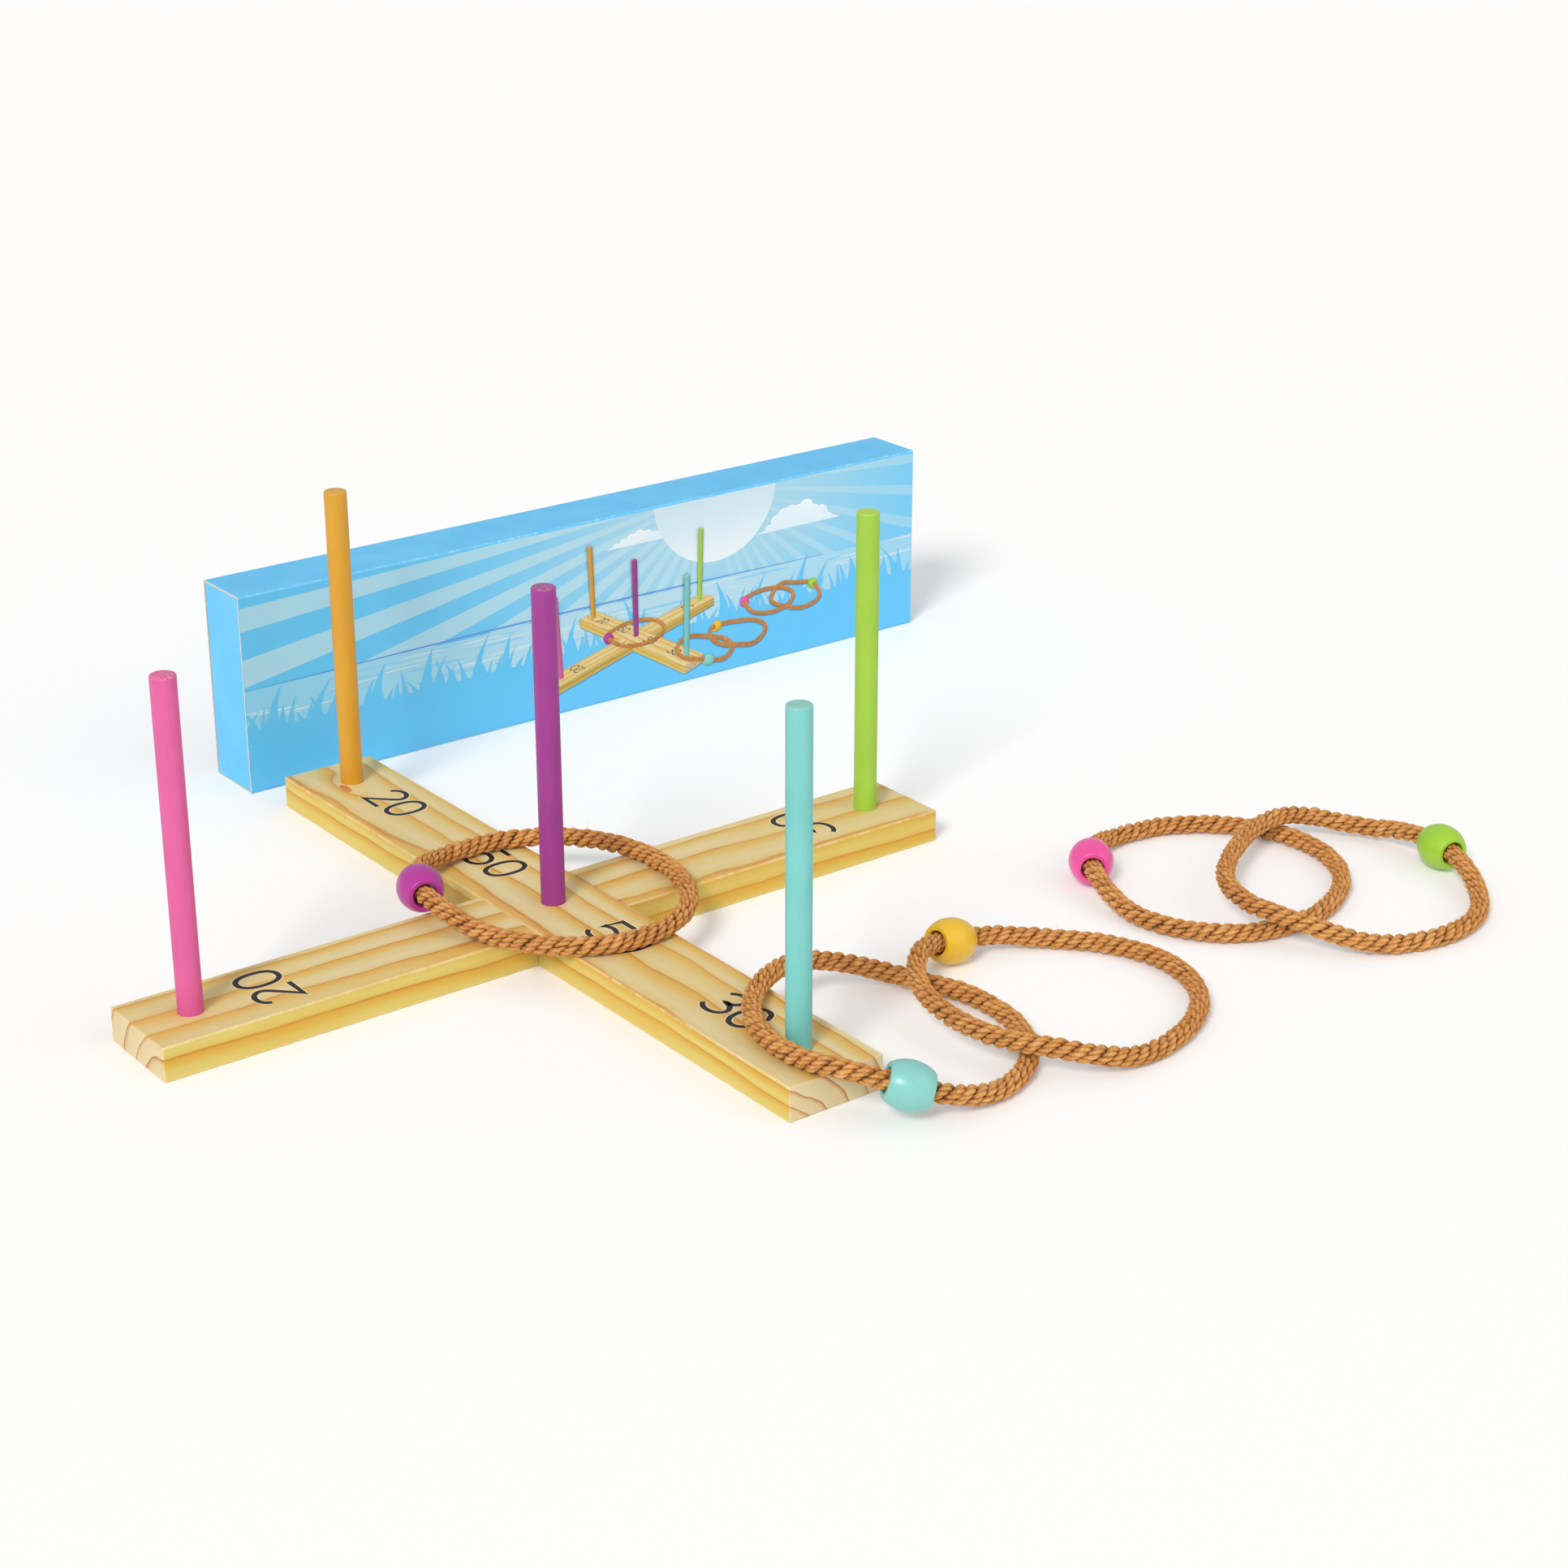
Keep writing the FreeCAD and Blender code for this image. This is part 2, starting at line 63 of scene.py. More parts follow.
class Shader:
    """A node material built by short calls; every value may be a number or another node's output."""

    def __init__(self, name):
        self.material = bpy.data.materials.new(name)
        self.material.use_nodes = True
        self.tree = self.material.node_tree
        self.tree.nodes.clear()
        self.surface = self.node("ShaderNodeBsdfPrincipled")
        out = self.node("ShaderNodeOutputMaterial")
        self.tree.links.new(self.surface.outputs[0], out.inputs["Surface"])
        self.place = self.node("ShaderNodeTexCoord")

    def node(self, kind, inputs=None, **settings):
        made = self.tree.nodes.new(kind)
        for key, value in settings.items():
            setattr(made, key, value)
        for key, value in (inputs or {}).items():
            self.feed(made.inputs[key], value)
        return made

    def feed(self, socket, value):
        if isinstance(value, bpy.types.NodeSocket):
            self.tree.links.new(value, socket)
        elif isinstance(value, (tuple, list)) and len(value) == 3 and socket.type == "RGBA":
            socket.default_value = (*value, 1)
        else:
            socket.default_value = value

    def math(self, operation, a, b=0.0, c=0.0):
        return self.node("ShaderNodeMath", {0: a, 1: b, 2: c}, operation=operation).outputs[0]

    def distance(self, a, b):
        return self.math("SQRT", self.math("ADD", self.math("POWER", a, 2), self.math("POWER", b, 2)))

    def axes(self, vector):
        return self.node("ShaderNodeSeparateXYZ", {0: vector}).outputs

    def vector(self, x, y, z):
        return self.node("ShaderNodeCombineXYZ", {0: x, 1: y, 2: z}).outputs[0]

    def millimetres(self):
        """The place on the object, in mm, as three outputs."""
        return [self.math("MULTIPLY", a, 1 / MM) for a in self.axes(self.place.outputs["Object"])]

    def noise(self, vector, scale, detail=2.0, rough=0.5):
        return self.node("ShaderNodeTexNoise", {
            "Vector": vector, "Scale": scale, "Detail": detail, "Roughness": rough}).outputs[0]

    def speckle(self, place, sizes, detail=2.0, rough=0.5):
        """Noise whose features have the given size along each axis, in the units of place."""
        scaled = [self.math("DIVIDE", a, size) for a, size in zip(place, sizes)]
        return self.noise(self.vector(*scaled), 1.0, detail, rough)

    def step(self, value, low, high, out_low=0.0, out_high=1.0):
        """Runs smoothly from out_low at low to out_high at high."""
        return self.node("ShaderNodeMapRange", {
            "Value": value, "From Min": low, "From Max": high, "To Min": out_low,
            "To Max": out_high}, interpolation_type="SMOOTHSTEP").outputs[0]

    def mix(self, factor, a, b, blend="MIX"):
        made = self.node("ShaderNodeMix", data_type="RGBA", blend_type=blend)
        self.feed(made.inputs[0], factor)
        self.feed(made.inputs[6], a)
        self.feed(made.inputs[7], b)
        return made.outputs[2]

    def ramp(self, factor, stops):
        made = self.node("ShaderNodeValToRGB", {0: factor})
        band = made.color_ramp
        while len(band.elements) < len(stops):
            band.elements.new(1)
        for element, (position, colour) in zip(band.elements, stops):
            element.position = position
            element.color = (*colour, 1)
        return made.outputs[0]

    def bump(self, height, distance, strength):
        return self.node("ShaderNodeBump", {
            "Height": height, "Distance": distance, "Strength": strength}).outputs[0]

    def finish(self, **inputs):
        for name, value in inputs.items():
            self.feed(self.surface.inputs[name.replace("_", " ")], value)
        return self.material


def linear(red, green, blue):
    """A colour given as 0-255 screen values, in linear light."""
    def one(value):
        value /= 255
        return value / 12.92 if value <= 0.04045 else ((value + 0.055) / 1.055) ** 2.4
    return (one(red), one(green), one(blue))


def paint_node(name, material):
    mesh = NODES[name].data
    mesh.materials.clear()
    mesh.materials.append(material)


def smooth(obj, degrees=40):
    """Shade smooth, but keep edges sharper than the angle."""
    obj.data.shade_smooth()
    obj.data.set_sharp_from_angle(angle=math.radians(degrees))


# ---------------------------------------- wood

PLANK_HALF_WIDTH, PLANK_TOP = (round(v / MM, 3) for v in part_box("lower_plank")[1][1:])


def pine(name, along, pith, knots, shift, spacing):
    """Pine sawn from a log: rings round a pith line that runs nearly along the plank.

    pith: its place across, its height and its slope. A knot: its places along and across, its size.
    """
    s = Shader(name)
    x, y, height = s.millimetres()
    length, width = (x, y) if along == "x" else (y, x)
    here = (length, width, height)
    moved = (s.math("ADD", length, shift), width, height)

    # slow wander of the grain, then knots that push the rings aside
    wander = s.speckle(moved, (150, 46, 46), 1.5)
    ripple = s.speckle(moved, (34, 12, 12))
    offset = s.math("MULTIPLY_ADD", s.math("SUBTRACT", wander, 0.5), 7.5,
                    s.math("MULTIPLY", s.math("SUBTRACT", ripple, 0.5), 2.2))
    knot_mask = 0.0
    for knot_length, knot_width, size in knots:
        ahead = s.math("MULTIPLY", s.math("SUBTRACT", length, knot_length), 0.4)
        away = s.distance(ahead, s.math("SUBTRACT", width, knot_width))
        push = s.step(away, 0, size * 5, size * 1.7, 0)
        offset = s.math("ADD", offset, push)
        knot_mask = s.math("MAXIMUM", knot_mask, s.step(away, size, size * 0.72))
    across = s.math("ADD", s.math("SUBTRACT", width, pith[0]), offset)
    across = s.math("MULTIPLY_ADD", length, pith[2], across)
    depth = s.math("ADD", s.math("SUBTRACT", height, pith[1]), offset)
    radius = s.distance(across, depth)
    spread = s.noise(s.vector(s.math("DIVIDE", radius, 17), 0.3, 0.7), 1.0, 1.0)
    ring = s.math("FRACT", s.math("DIVIDE", s.math("MULTIPLY_ADD", spread, 9, radius), spacing))

    cream, pale, amber, brown = (linear(218, 199, 142), linear(224, 208, 160),
                                 linear(216, 166, 82), linear(196, 126, 50))
    grain = s.ramp(ring, [(0.0, cream), (0.22, pale), (0.5, cream), (0.68, linear(219, 184, 102)),
                          (0.88, amber), (0.955, brown), (0.985, linear(218, 180, 106))])
    # long fibres and short resin dashes
    fibre = s.speckle(moved, (26, 0.55, 0.55), 3.0, 0.6)
    grain = s.mix(s.step(fibre, 0.4, 0.78, 0, 0.26), grain, linear(212, 162, 92))
    dash_mask = s.step(s.speckle(moved, (5.5, 0.22, 0.22), 1.0, 0.4), 0.66, 0.76, 0, 0.26)
    grain = s.mix(dash_mask, grain, linear(176, 112, 54))
    blotch = s.speckle(moved, (70, 30, 30))
    grain = s.mix(s.step(blotch, 0.3, 0.75, 0, 0.36), grain, linear(222, 182, 84))

    # the sawn sides are yellower, the end grain browner and coarser
    facing = s.axes(s.place.outputs["Normal"])
    end_on = s.math("ABSOLUTE", facing[0] if along == "x" else facing[1])
    side_on = s.math("ABSOLUTE", facing[1] if along == "x" else facing[0])
    end_mask = s.step(end_on, 0.6, 0.9)
    yellowed = s.mix(1.0, grain, linear(246, 240, 160), "MULTIPLY")
    grain = s.mix(s.step(side_on, 0.6, 0.95, 0, 0.85), grain, yellowed)
    end_grain = s.ramp(ring, [(0.0, linear(222, 206, 164)), (0.76, linear(216, 196, 150)),
                              (0.9, linear(206, 160, 104)), (0.95, linear(168, 98, 52)),
                              (0.98, linear(220, 200, 156))])
    pores = s.speckle(here, (9, 0.5, 0.5), 2.0, 0.7)
    end_grain = s.mix(s.step(pores, 0.5, 0.74, 0, 0.32), end_grain, linear(166, 116, 68))
    colour = s.mix(end_mask, grain, end_grain)
    knot_rings = s.math("FRACT", s.math("MULTIPLY", ripple, 7))
    colour = s.mix(s.math("MULTIPLY", knot_mask, 0.85), colour,
                   s.mix(knot_rings, linear(176, 84, 40), linear(214, 128, 70)))

    # worn paler arrises
    edge_y = s.math("SUBTRACT", PLANK_HALF_WIDTH, s.math("ABSOLUTE", width))
    edge_z = s.math("MINIMUM", s.math("SUBTRACT", PLANK_TOP, height), height)
    near_edge = s.distance(edge_y, edge_z)
    chafe = s.speckle(here, (6, 6, 6), 3.0, 0.6)
    worn = s.math("MULTIPLY", s.step(near_edge, 1.5, 0.25), s.step(chafe, 0.38, 0.62, 0.25, 0.8))
    colour = s.mix(s.math("MULTIPLY", worn, 0.7), colour, linear(236, 216, 168))
    rough = s.math("MULTIPLY_ADD", fibre, 0.16, 0.46)
    rough = s.math("MULTIPLY_ADD", end_mask, 0.16, rough)
    relief = s.math("MULTIPLY_ADD", dash_mask, -0.5, s.math("MULTIPLY_ADD", ring, 0.35, fibre))
    relief = s.math("MULTIPLY_ADD", end_mask, pores, relief)
    return s.finish(Base_Color=colour, Roughness=rough, Normal=s.bump(relief, 0.00012, 0.7),
                    Specular_IOR_Level=0.42)


def painted(name, colour, shade, grain_length, roughness, coat=0.0, bare=None, tip=None):
    """Paint over turned wood: faint grain showing through, brush unevenness, rubbed spots."""
    s = Shader(name)
    place = s.millimetres()
    grain = s.speckle(place, (0.7, 0.7, grain_length), 3.0, 0.6)
    cloud = s.speckle(place, (18, 18, 26))
    speck = s.speckle(place, (0.9, 0.9, 0.9), 2.0, 0.6)
    tone = s.mix(s.step(cloud, 0.3, 0.7, 0.0, 0.35), colour, shade)
    tone = s.mix(s.step(grain, 0.45, 0.8, 0.0, 0.30), tone, shade)
    if bare and tip:
        rubbed = s.math("MULTIPLY", s.step(place[2], tip - 1.0, tip), s.step(speck, 0.52, 0.66, 0.05, 0.4))
        tone = s.mix(rubbed, tone, bare)
    relief = s.math("MULTIPLY_ADD", speck, 0.4, grain)
    rough = s.math("MULTIPLY_ADD", cloud, 0.12, s.math("MULTIPLY_ADD", speck, 0.1, roughness - 0.1))
    return s.finish(Base_Color=tone, Roughness=rough, Normal=s.bump(relief, 0.00006, 0.55),
                    Coat_Weight=coat, Coat_Roughness=0.25, Specular_IOR_Level=0.45)


# ---------------------------------------- rope

STRANDS, YARNS = 3, 4
STRAND_OFFSET, YARN_OFFSET, YARN_RADIUS = 2.42, 1.18, 0.97
STRAND_LAY, YARN_LAY = 17.0, 10.5     # length of one full turn, wound opposite ways
ROPE_SAMPLES, YARN_SIDES, ROPE_RADIUS = 640, 7, 4.6
STRAY_FIBRES, ROPE_SEED = 1300, 40


def centre_line(node, count):
    """The closed centre line of a rope's CAD tube, in mm, starting inside its bead."""
    points = np.array([v.co for v in NODES[node].data.vertices]) / MM
    middle = (points.min(0) + points.max(0)) / 2
    radius = np.hypot(points[:, 0] - middle[0], points[:, 1] - middle[1])
    angle = np.arctan2(points[:, 1] - middle[1], points[:, 0] - middle[0])
    window = math.radians(5)
    sample_angle, sample_radius, sample_height = [], [], []
    for turn in np.radians(np.arange(0, 360, 4)):
        near = np.abs((angle - turn + math.pi) % math.tau - math.pi) < window
        if near.sum() < 8:
            continue
        sample_angle.append(turn)
        sample_radius.append((radius[near].min() + radius[near].max()) / 2)
        sample_height.append((points[near, 2].min() + points[near, 2].max()) / 2)
    sample_angle = np.array(sample_angle)
    harmonics = np.arange(1, 11)

    def basis(turns):
        return np.hstack([np.ones((len(turns), 1)), np.cos(np.outer(turns, harmonics)),
                          np.sin(np.outer(turns, harmonics))])
    fit_radius = np.linalg.lstsq(basis(sample_angle), np.array(sample_radius), rcond=None)[0]
    fit_height = np.linalg.lstsq(basis(sample_angle), np.array(sample_height), rcond=None)[0]
    low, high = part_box(node.replace("rope", "bead"))
    bead = (np.array(low) + np.array(high)) / 2 / MM
    start = math.atan2(bead[1] - middle[1], bead[0] - middle[0])
    turns = start + np.linspace(0, math.tau, count)
    reach = basis(turns) @ fit_radius
    height = basis(turns) @ fit_height
    return np.stack([middle[0] + reach * np.cos(turns), middle[1] + reach * np.sin(turns), height], 1)


def distance_along(line):
    return np.r_[0, np.cumsum(np.linalg.norm(np.diff(line, axis=0), axis=1))]


def frames_along(line):
    """Unit tangents and two normals carried along the line without twist."""
    tangent = np.gradient(line, axis=0)
    tangent /= np.linalg.norm(tangent, axis=1, keepdims=True)
    normal = np.zeros_like(line)
    normal[0] = np.cross(tangent[0], (0, 0, 1))
    normal[0] /= np.linalg.norm(normal[0])
    for i in range(1, len(line)):
        carried = normal[i - 1] - tangent[i] * (normal[i - 1] @ tangent[i])
        normal[i] = carried / np.linalg.norm(carried)
    return tangent, normal, np.cross(tangent, normal)


def tube(line, radius, sides):
    """Vertices, quads and (along, around) coordinates of a closed-ended tube."""
    _, normal, other = frames_along(line)
    turns = np.arange(sides) / sides * math.tau
    ring = (normal[:, None] * np.cos(turns)[None, :, None] + other[:, None] * np.sin(turns)[None, :, None])
    vertices = (line[:, None] + ring * np.broadcast_to(radius, (len(line),))[:, None, None]).reshape(-1, 3)
    rows = np.arange(len(line) - 1)[:, None] * sides
    here = np.arange(sides)[None]
    after = (here + 1) % sides
    quads = np.stack([rows + here, rows + after, rows + sides + after, rows + sides + here], -1)
    travelled = distance_along(line)
    start, end = travelled[:-1, None] + 0 * here, travelled[1:, None] + 0 * here
    along = np.stack([start, start, end, end], -1).reshape(-1, 4)
    side = here + 0 * rows
    around = np.stack([side, side + 1, side + 1, side], -1).reshape(-1, 4) / sides
    return vertices, quads.reshape(-1, 4), np.stack([along, around], -1)


def mesh_object(name, vertices, faces, uv=None):
    """A mesh object from arrays in mm, with face-corner coordinates if given."""
    mesh = bpy.data.meshes.new(name)
    mesh.from_pydata((np.asarray(vertices) * MM).tolist(), [], np.asarray(faces).tolist())
    if uv is not None:
        layer = mesh.uv_layers.new(name="along")
        layer.data.foreach_set("uv", np.asarray(uv, np.float32).ravel())
    obj = bpy.data.objects.new(name, mesh)
    bpy.context.scene.collection.objects.link(obj)
    return obj


def join(pieces):
    """Stack (vertices, faces, uv) triples into one."""
    offset, vertices, faces, uv = 0, [], [], []
    for v, f, t in pieces:
        vertices.append(v)
        faces.append(f + offset)
        uv.append(t)
        offset += len(v)
    return np.concatenate(vertices), np.concatenate(faces), np.concatenate(uv)


def uneven(rng, travelled, pieces, spread):
    """A slow random wander along the rope."""
    return np.interp(travelled, np.linspace(0, travelled[-1], pieces), rng.normal(0, spread, pieces))


def laid_rope(ring, seed, samples=ROPE_SAMPLES, hairs=STRAY_FIBRES):
    """A three-strand rope, each strand of four yarns twisted the other way, with stray fibres."""
    rng = np.random.default_rng(seed)
    line = centre_line(f"rope_{ring}", samples)
    _, normal, other = frames_along(line)
    travelled = distance_along(line)
    drift = uneven(rng, travelled, 26, 0.22)
    pieces, surface, outward = [], [], []
    for strand in range(STRANDS):
        spin = -travelled / STRAND_LAY * math.tau + drift + strand * math.tau / STRANDS
        spin = spin + uneven(rng, travelled, 40, 0.10)
        reach = STRAND_OFFSET * (1 + uneven(rng, travelled, 60, 0.04))
        core = line + reach[:, None] * (normal * np.cos(spin)[:, None] + other * np.sin(spin)[:, None])
        _, side, over = frames_along(core)
        phase = rng.uniform(0, math.tau)
        for yarn in range(YARNS):
            twist = travelled / YARN_LAY * math.tau + phase + yarn * math.tau / YARNS
            twist = twist + uneven(rng, travelled, 50, 0.16)
            out = YARN_OFFSET * (1 + uneven(rng, travelled, 150, 0.07))
            path = core + out[:, None] * (side * np.cos(twist)[:, None] + over * np.sin(twist)[:, None])
            plump = 1 + uneven(rng, travelled, 170, 0.07)
            vertices, quads, uv = tube(path, YARN_RADIUS * plump, YARN_SIDES)
            uv[..., 1] += strand * YARNS + yarn
            pieces.append((vertices, quads, uv))
            surface.append(vertices)
            away = np.linalg.norm(vertices.reshape(len(line), YARN_SIDES, 3) - line[:, None], axis=2)
            outward.append(away.ravel())
    fuzz = stray_fibres(np.concatenate(surface), line, rng, hairs)
    # stray hairs count as outermost, so they take the painted highlight
    outward += [np.full(len(hair[0]), ROPE_RADIUS) for hair in fuzz]
    obj = mesh_object(f"laid_rope_{ring}", *join(pieces + fuzz))
    # each point's distance from the rope's centre line, which the fibre finish uses for painted shade between
    # the strands and a painted highlight on the outermost fibres
    layer = obj.data.attributes.new("outward", "FLOAT", "POINT")
    layer.data.foreach_set("value", np.concatenate(outward).astype(np.float32))
    obj.data.shade_smooth()
    return obj


def stray_fibres(surface, line, rng, count):
    """Fine bent hairs that lift off the strands."""
    hairs = []
    outer = surface[np.linalg.norm(surface - line[0], axis=1) > 12]     # clear of the bead
    for root in outer[rng.integers(0, len(outer), count)]:
        nearest = int(np.argmin(np.sum((line - root) ** 2, axis=1)))
        tangent = line[min(nearest + 1, len(line) - 1)] - line[max(nearest - 1, 0)]
        tangent /= np.linalg.norm(tangent)
        out = root - line[nearest]
        out /= np.linalg.norm(out) + 1e-9
        lean = tangent * rng.choice((-1, 1)) * rng.uniform(0.5, 1.2) + out * rng.uniform(0.1, 0.75)
        lean += rng.normal(0, 0.25, 3)
        lean /= np.linalg.norm(lean)
        length = rng.uniform(1.0, 3.8)
        bend = rng.normal(0, 0.35, 3) - out * 0.25
        path = np.array([root - out * 0.3 + lean * length * t + bend * length * t * t
                         for t in (0, 0.35, 0.7, 1.0)])
        path[:, 2] = np.maximum(path[:, 2], 0.08)
        vertices, quads, uv = tube(path, np.array([0.075, 0.065, 0.05, 0.025]), 3)
        hairs.append((vertices, quads, uv + (0, 9)))
    return hairs


def rope_fibre():
    """Coarse plant fibre: hairs lying aslant along each yarn, with painted shade deep between the strands and
    a painted highlight where they stand proud.
    """
    s = Shader("rope_fibre")
    along, around, _ = s.axes(s.place.outputs["UV"])
    place = s.vector(*s.millimetres())
    slant = s.math("MULTIPLY_ADD", along, 0.16, around)
    hairs = s.vector(s.math("MULTIPLY", slant, 9), s.math("MULTIPLY", along, 0.55), 0.5)
    thread = s.noise(hairs, 1.0, 4.0, 0.7)
    tuft = s.noise(place, 0.6, 3.0, 0.6)
    shade = s.noise(place, 0.05)
    grit = s.noise(place, 2.6, 3.0, 0.7)
    tone = s.ramp(thread, [(0.28, linear(138, 78, 34)), (0.42, linear(186, 118, 60)),
                           (0.55, linear(212, 150, 84)), (0.72, linear(238, 188, 120))])
    tone = s.mix(s.step(tuft, 0.35, 0.7, 0, 0.4), tone, linear(230, 172, 100))
    tone = s.mix(s.step(grit, 0.58, 0.75, 0, 0.35), tone, linear(124, 66, 28))
    tone = s.mix(s.step(shade, 0.35, 0.65, 0, 0.3), tone, linear(186, 110, 54))
    outward = s.node("ShaderNodeAttribute", attribute_name="outward").outputs["Fac"]
    # painted shade: darker where the surface lies deep in the rope, close to its centre line, between the
    # strands
    tone = s.mix(s.step(outward, 2.8, 4.2, 0.75, 0.0), tone, linear(96, 52, 24))
    # painted highlight: paler where the fibres stand proudest, stray hairs included
    tone = s.mix(s.step(outward, 4.1, 4.75, 0.0, 0.4), tone, linear(236, 196, 134))
    relief = s.math("MULTIPLY_ADD", grit, 0.5, thread)
    return s.finish(Base_Color=tone, Roughness=0.88, Normal=s.bump(relief, 0.0003, 0.9),
                    Specular_IOR_Level=0.15, Sheen_Weight=0.2, Sheen_Roughness=0.5,
                    Sheen_Tint=linear(240, 200, 140))


# ---------------------------------------- score marks

DIGIT_HEIGHT, DIGIT_WIDTH, DIGIT_GAP, STROKE = 20.0, 13.9, 3.0, 2.5
DIGIT_BOX = 0.54            # width of the box that a pen path is drawn in; its height is 1


def arc(cx, cy, rx, ry, first, last, count=22):
    return [(cx + rx * math.cos(math.radians(a)), cy + ry * math.sin(math.radians(a)))
            for a in np.linspace(first, last, count)]


def digit(character):
    """A light sans digit's pen path in its box."""
    if character == "0":
        return [(0.27 + 0.25 * math.copysign(abs(math.cos(t)) ** 0.9, math.cos(t)),
                 0.5 + 0.48 * math.copysign(abs(math.sin(t)) ** 0.82, math.sin(t)))
                for t in np.linspace(0, math.tau, 49)]
    if character == "2":
        return arc(0.27, 0.73, 0.235, 0.25, 172, -22) + [(0.42, 0.52), (0.03, 0.02), (0.54, 0.02)]
    if character == "3":
        return arc(0.25, 0.75, 0.215, 0.23, 158, -88, 20) + arc(0.25, 0.27, 0.265, 0.25, 88, -158, 24)
    return [(0.49, 0.98), (0.11, 0.98), (0.075, 0.545)] + arc(0.245, 0.32, 0.27, 0.30, 128, -148, 26)


def ribbon(path, half, closed):
    """A flat pen stroke: left and right offsets of the path, as quads."""
    path = np.array(path)
    if closed:
        path = path[:-1]
        before, after = np.roll(path, 1, 0), np.roll(path, -1, 0)
    else:
        before, after = np.vstack([path[:1], path[:-1]]), np.vstack([path[1:], path[-1:]])
    first, second = path - before, after - path
    first = np.where(np.linalg.norm(first, axis=1, keepdims=True) < 1e-9, second, first)
    second = np.where(np.linalg.norm(second, axis=1, keepdims=True) < 1e-9, first, second)
    first /= np.linalg.norm(first, axis=1, keepdims=True)
    second /= np.linalg.norm(second, axis=1, keepdims=True)
    across = first + second
    across /= np.linalg.norm(across, axis=1, keepdims=True)
    stretch = 1 / np.clip((across * first).sum(1), 0.5, 1)
    side = np.stack([-across[:, 1], across[:, 0]], 1) * (half * stretch)[:, None]
    left, right = path + side, path - side
    count = len(path)
    rows = range(count if closed else count - 1)
    return np.vstack([left, right]), [(i, (i + 1) % count, count + (i + 1) % count, count + i) for i in rows]


def score(text, centre, read, up, top, half, thick):
    """The digits of one score as thin solid strokes lying on the plank's top."""
    wide = len(text) * DIGIT_WIDTH + (len(text) - 1) * DIGIT_GAP
    pieces = []
    for number, character in enumerate(text):
        start = -wide / 2 + number * (DIGIT_WIDTH + DIGIT_GAP)
        path = [(start + px / DIGIT_BOX * DIGIT_WIDTH, (py - 0.5) * DIGIT_HEIGHT)
                for px, py in digit(character)]
        flat, quads = ribbon(path, half, character == "0")
        placed = np.array([[centre[0] + px * read[0] + py * up[0], centre[1] + px * read[1] + py * up[1]]
                           for px, py in flat])
        count = len(placed)
        vertices = np.vstack([np.c_[placed, np.full(count, top + thick)], np.c_[placed, np.full(count, top)]])
        upper = np.array(quads)
        lower = upper[:, ::-1] + count
        pieces.append((vertices, np.vstack([upper, lower]), np.zeros((2 * len(quads), 4, 2))))
    return pieces


def ink():
    s = Shader("score_ink")
    x, y, z = s.millimetres()
    fleck = s.noise(s.vector(s.math("MULTIPLY", x, 1.6), s.math("MULTIPLY", y, 1.6), z), 1.0, 3.0, 0.6)
    tone = s.mix(s.step(fleck, 0.55, 0.8, 0, 0.5), linear(24, 20, 18), linear(82, 62, 44))
    return s.finish(Base_Color=tone, Roughness=s.math("MULTIPLY_ADD", fleck, 0.2, 0.45),
                    Normal=s.bump(fleck, 0.00004, 0.5))


def halo():
    s = Shader("score_halo")
    x, y, _ = s.millimetres()
    fleck = s.noise(s.vector(x, y, 0.5), 0.8, 3.0, 0.6)
    tone = s.mix(fleck, linear(236, 204, 148), linear(247, 224, 178))
    return s.finish(Base_Color=tone, Roughness=0.6, Normal=s.bump(fleck, 0.00004, 0.4))


def score_marks():
    """Each score in ink, over a paler border that sets it off from the wood."""
    black, pale = ink(), halo()
    made = []
    layout = {      # text, centre, and the directions that it reads in and stands up in
        "lower_plank": [("20", (-144, 1), (0, 1), (-1, 0)), ("30", (142.5, 1), (0, 1), (-1, 0))],
        "upper_plank": [("20", (3, 142.5), (0, -1), (1, 0)), ("50", (2.5, 52.5), (0, -1), (1, 0)),
                        ("50", (2.5, -49.5), (0, -1), (1, 0)), ("30", (0.5, -138), (0, -1), (1, 0))],
    }
    for plank, marks in layout.items():
        for kind, half, low, thick, material in (("halo", STROKE / 2 + 0.55, 0.01, 0.02, pale),
                                                 ("ink", STROKE / 2, 0.035, 0.03, black)):
            pieces = []
            for text, centre, read, up in marks:
                pieces += score(text, centre, read, up, PLANK_TOP + low, half, thick)
            obj = mesh_object(f"score_{kind}_{plank}", *join(pieces))
            obj.data.materials.append(material)
            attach(obj, plank)
            made.append(obj)
    return made


# ---------------------------------------- carton

SKY, SKY_GLOW, RAY, INK_BLUE = (92, 190, 238), (166, 207, 225), (178, 214, 227), (84, 146, 222)
CLOUD_FOOT, CLOUD, SUN_FOOT, SUN = (214, 230, 239), (228, 238, 243), (226, 236, 242), (196, 219, 229)
WATER, WATER_PALE, GLINT, RIPPLE = (118, 199, 236), (176, 212, 226), (190, 220, 230), (132, 200, 234)
SUN_U, SUN_V, SUN_RADIUS = 290.0, 107.0, 41.5
HORIZON, SHORE, WATER_FOOT = 56.0, 35.0, 28.0
CARTON = [[round(v / MM, 3) for v in corner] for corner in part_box("carton_sleeve")]
FRONT_LEFT, FRONT_FACE = CARTON[0][:2]
FRONT_WIDE, FRONT_TALL = CARTON[1][0] - FRONT_LEFT, CARTON[1][2]
PRINT_LOW, PRINT_HIGH = (0.4, 1.2), (FRONT_WIDE - 0.4, FRONT_TALL - 1.2)
BOARD_MOTTLE = (22, 22, 22)               # size of the board's uneven patches, as for speckle
LAYER_LIFT, SHAPE_LIFT = 0.01, 0.0006     # of a layer over the last, and of a shape over its neighbours


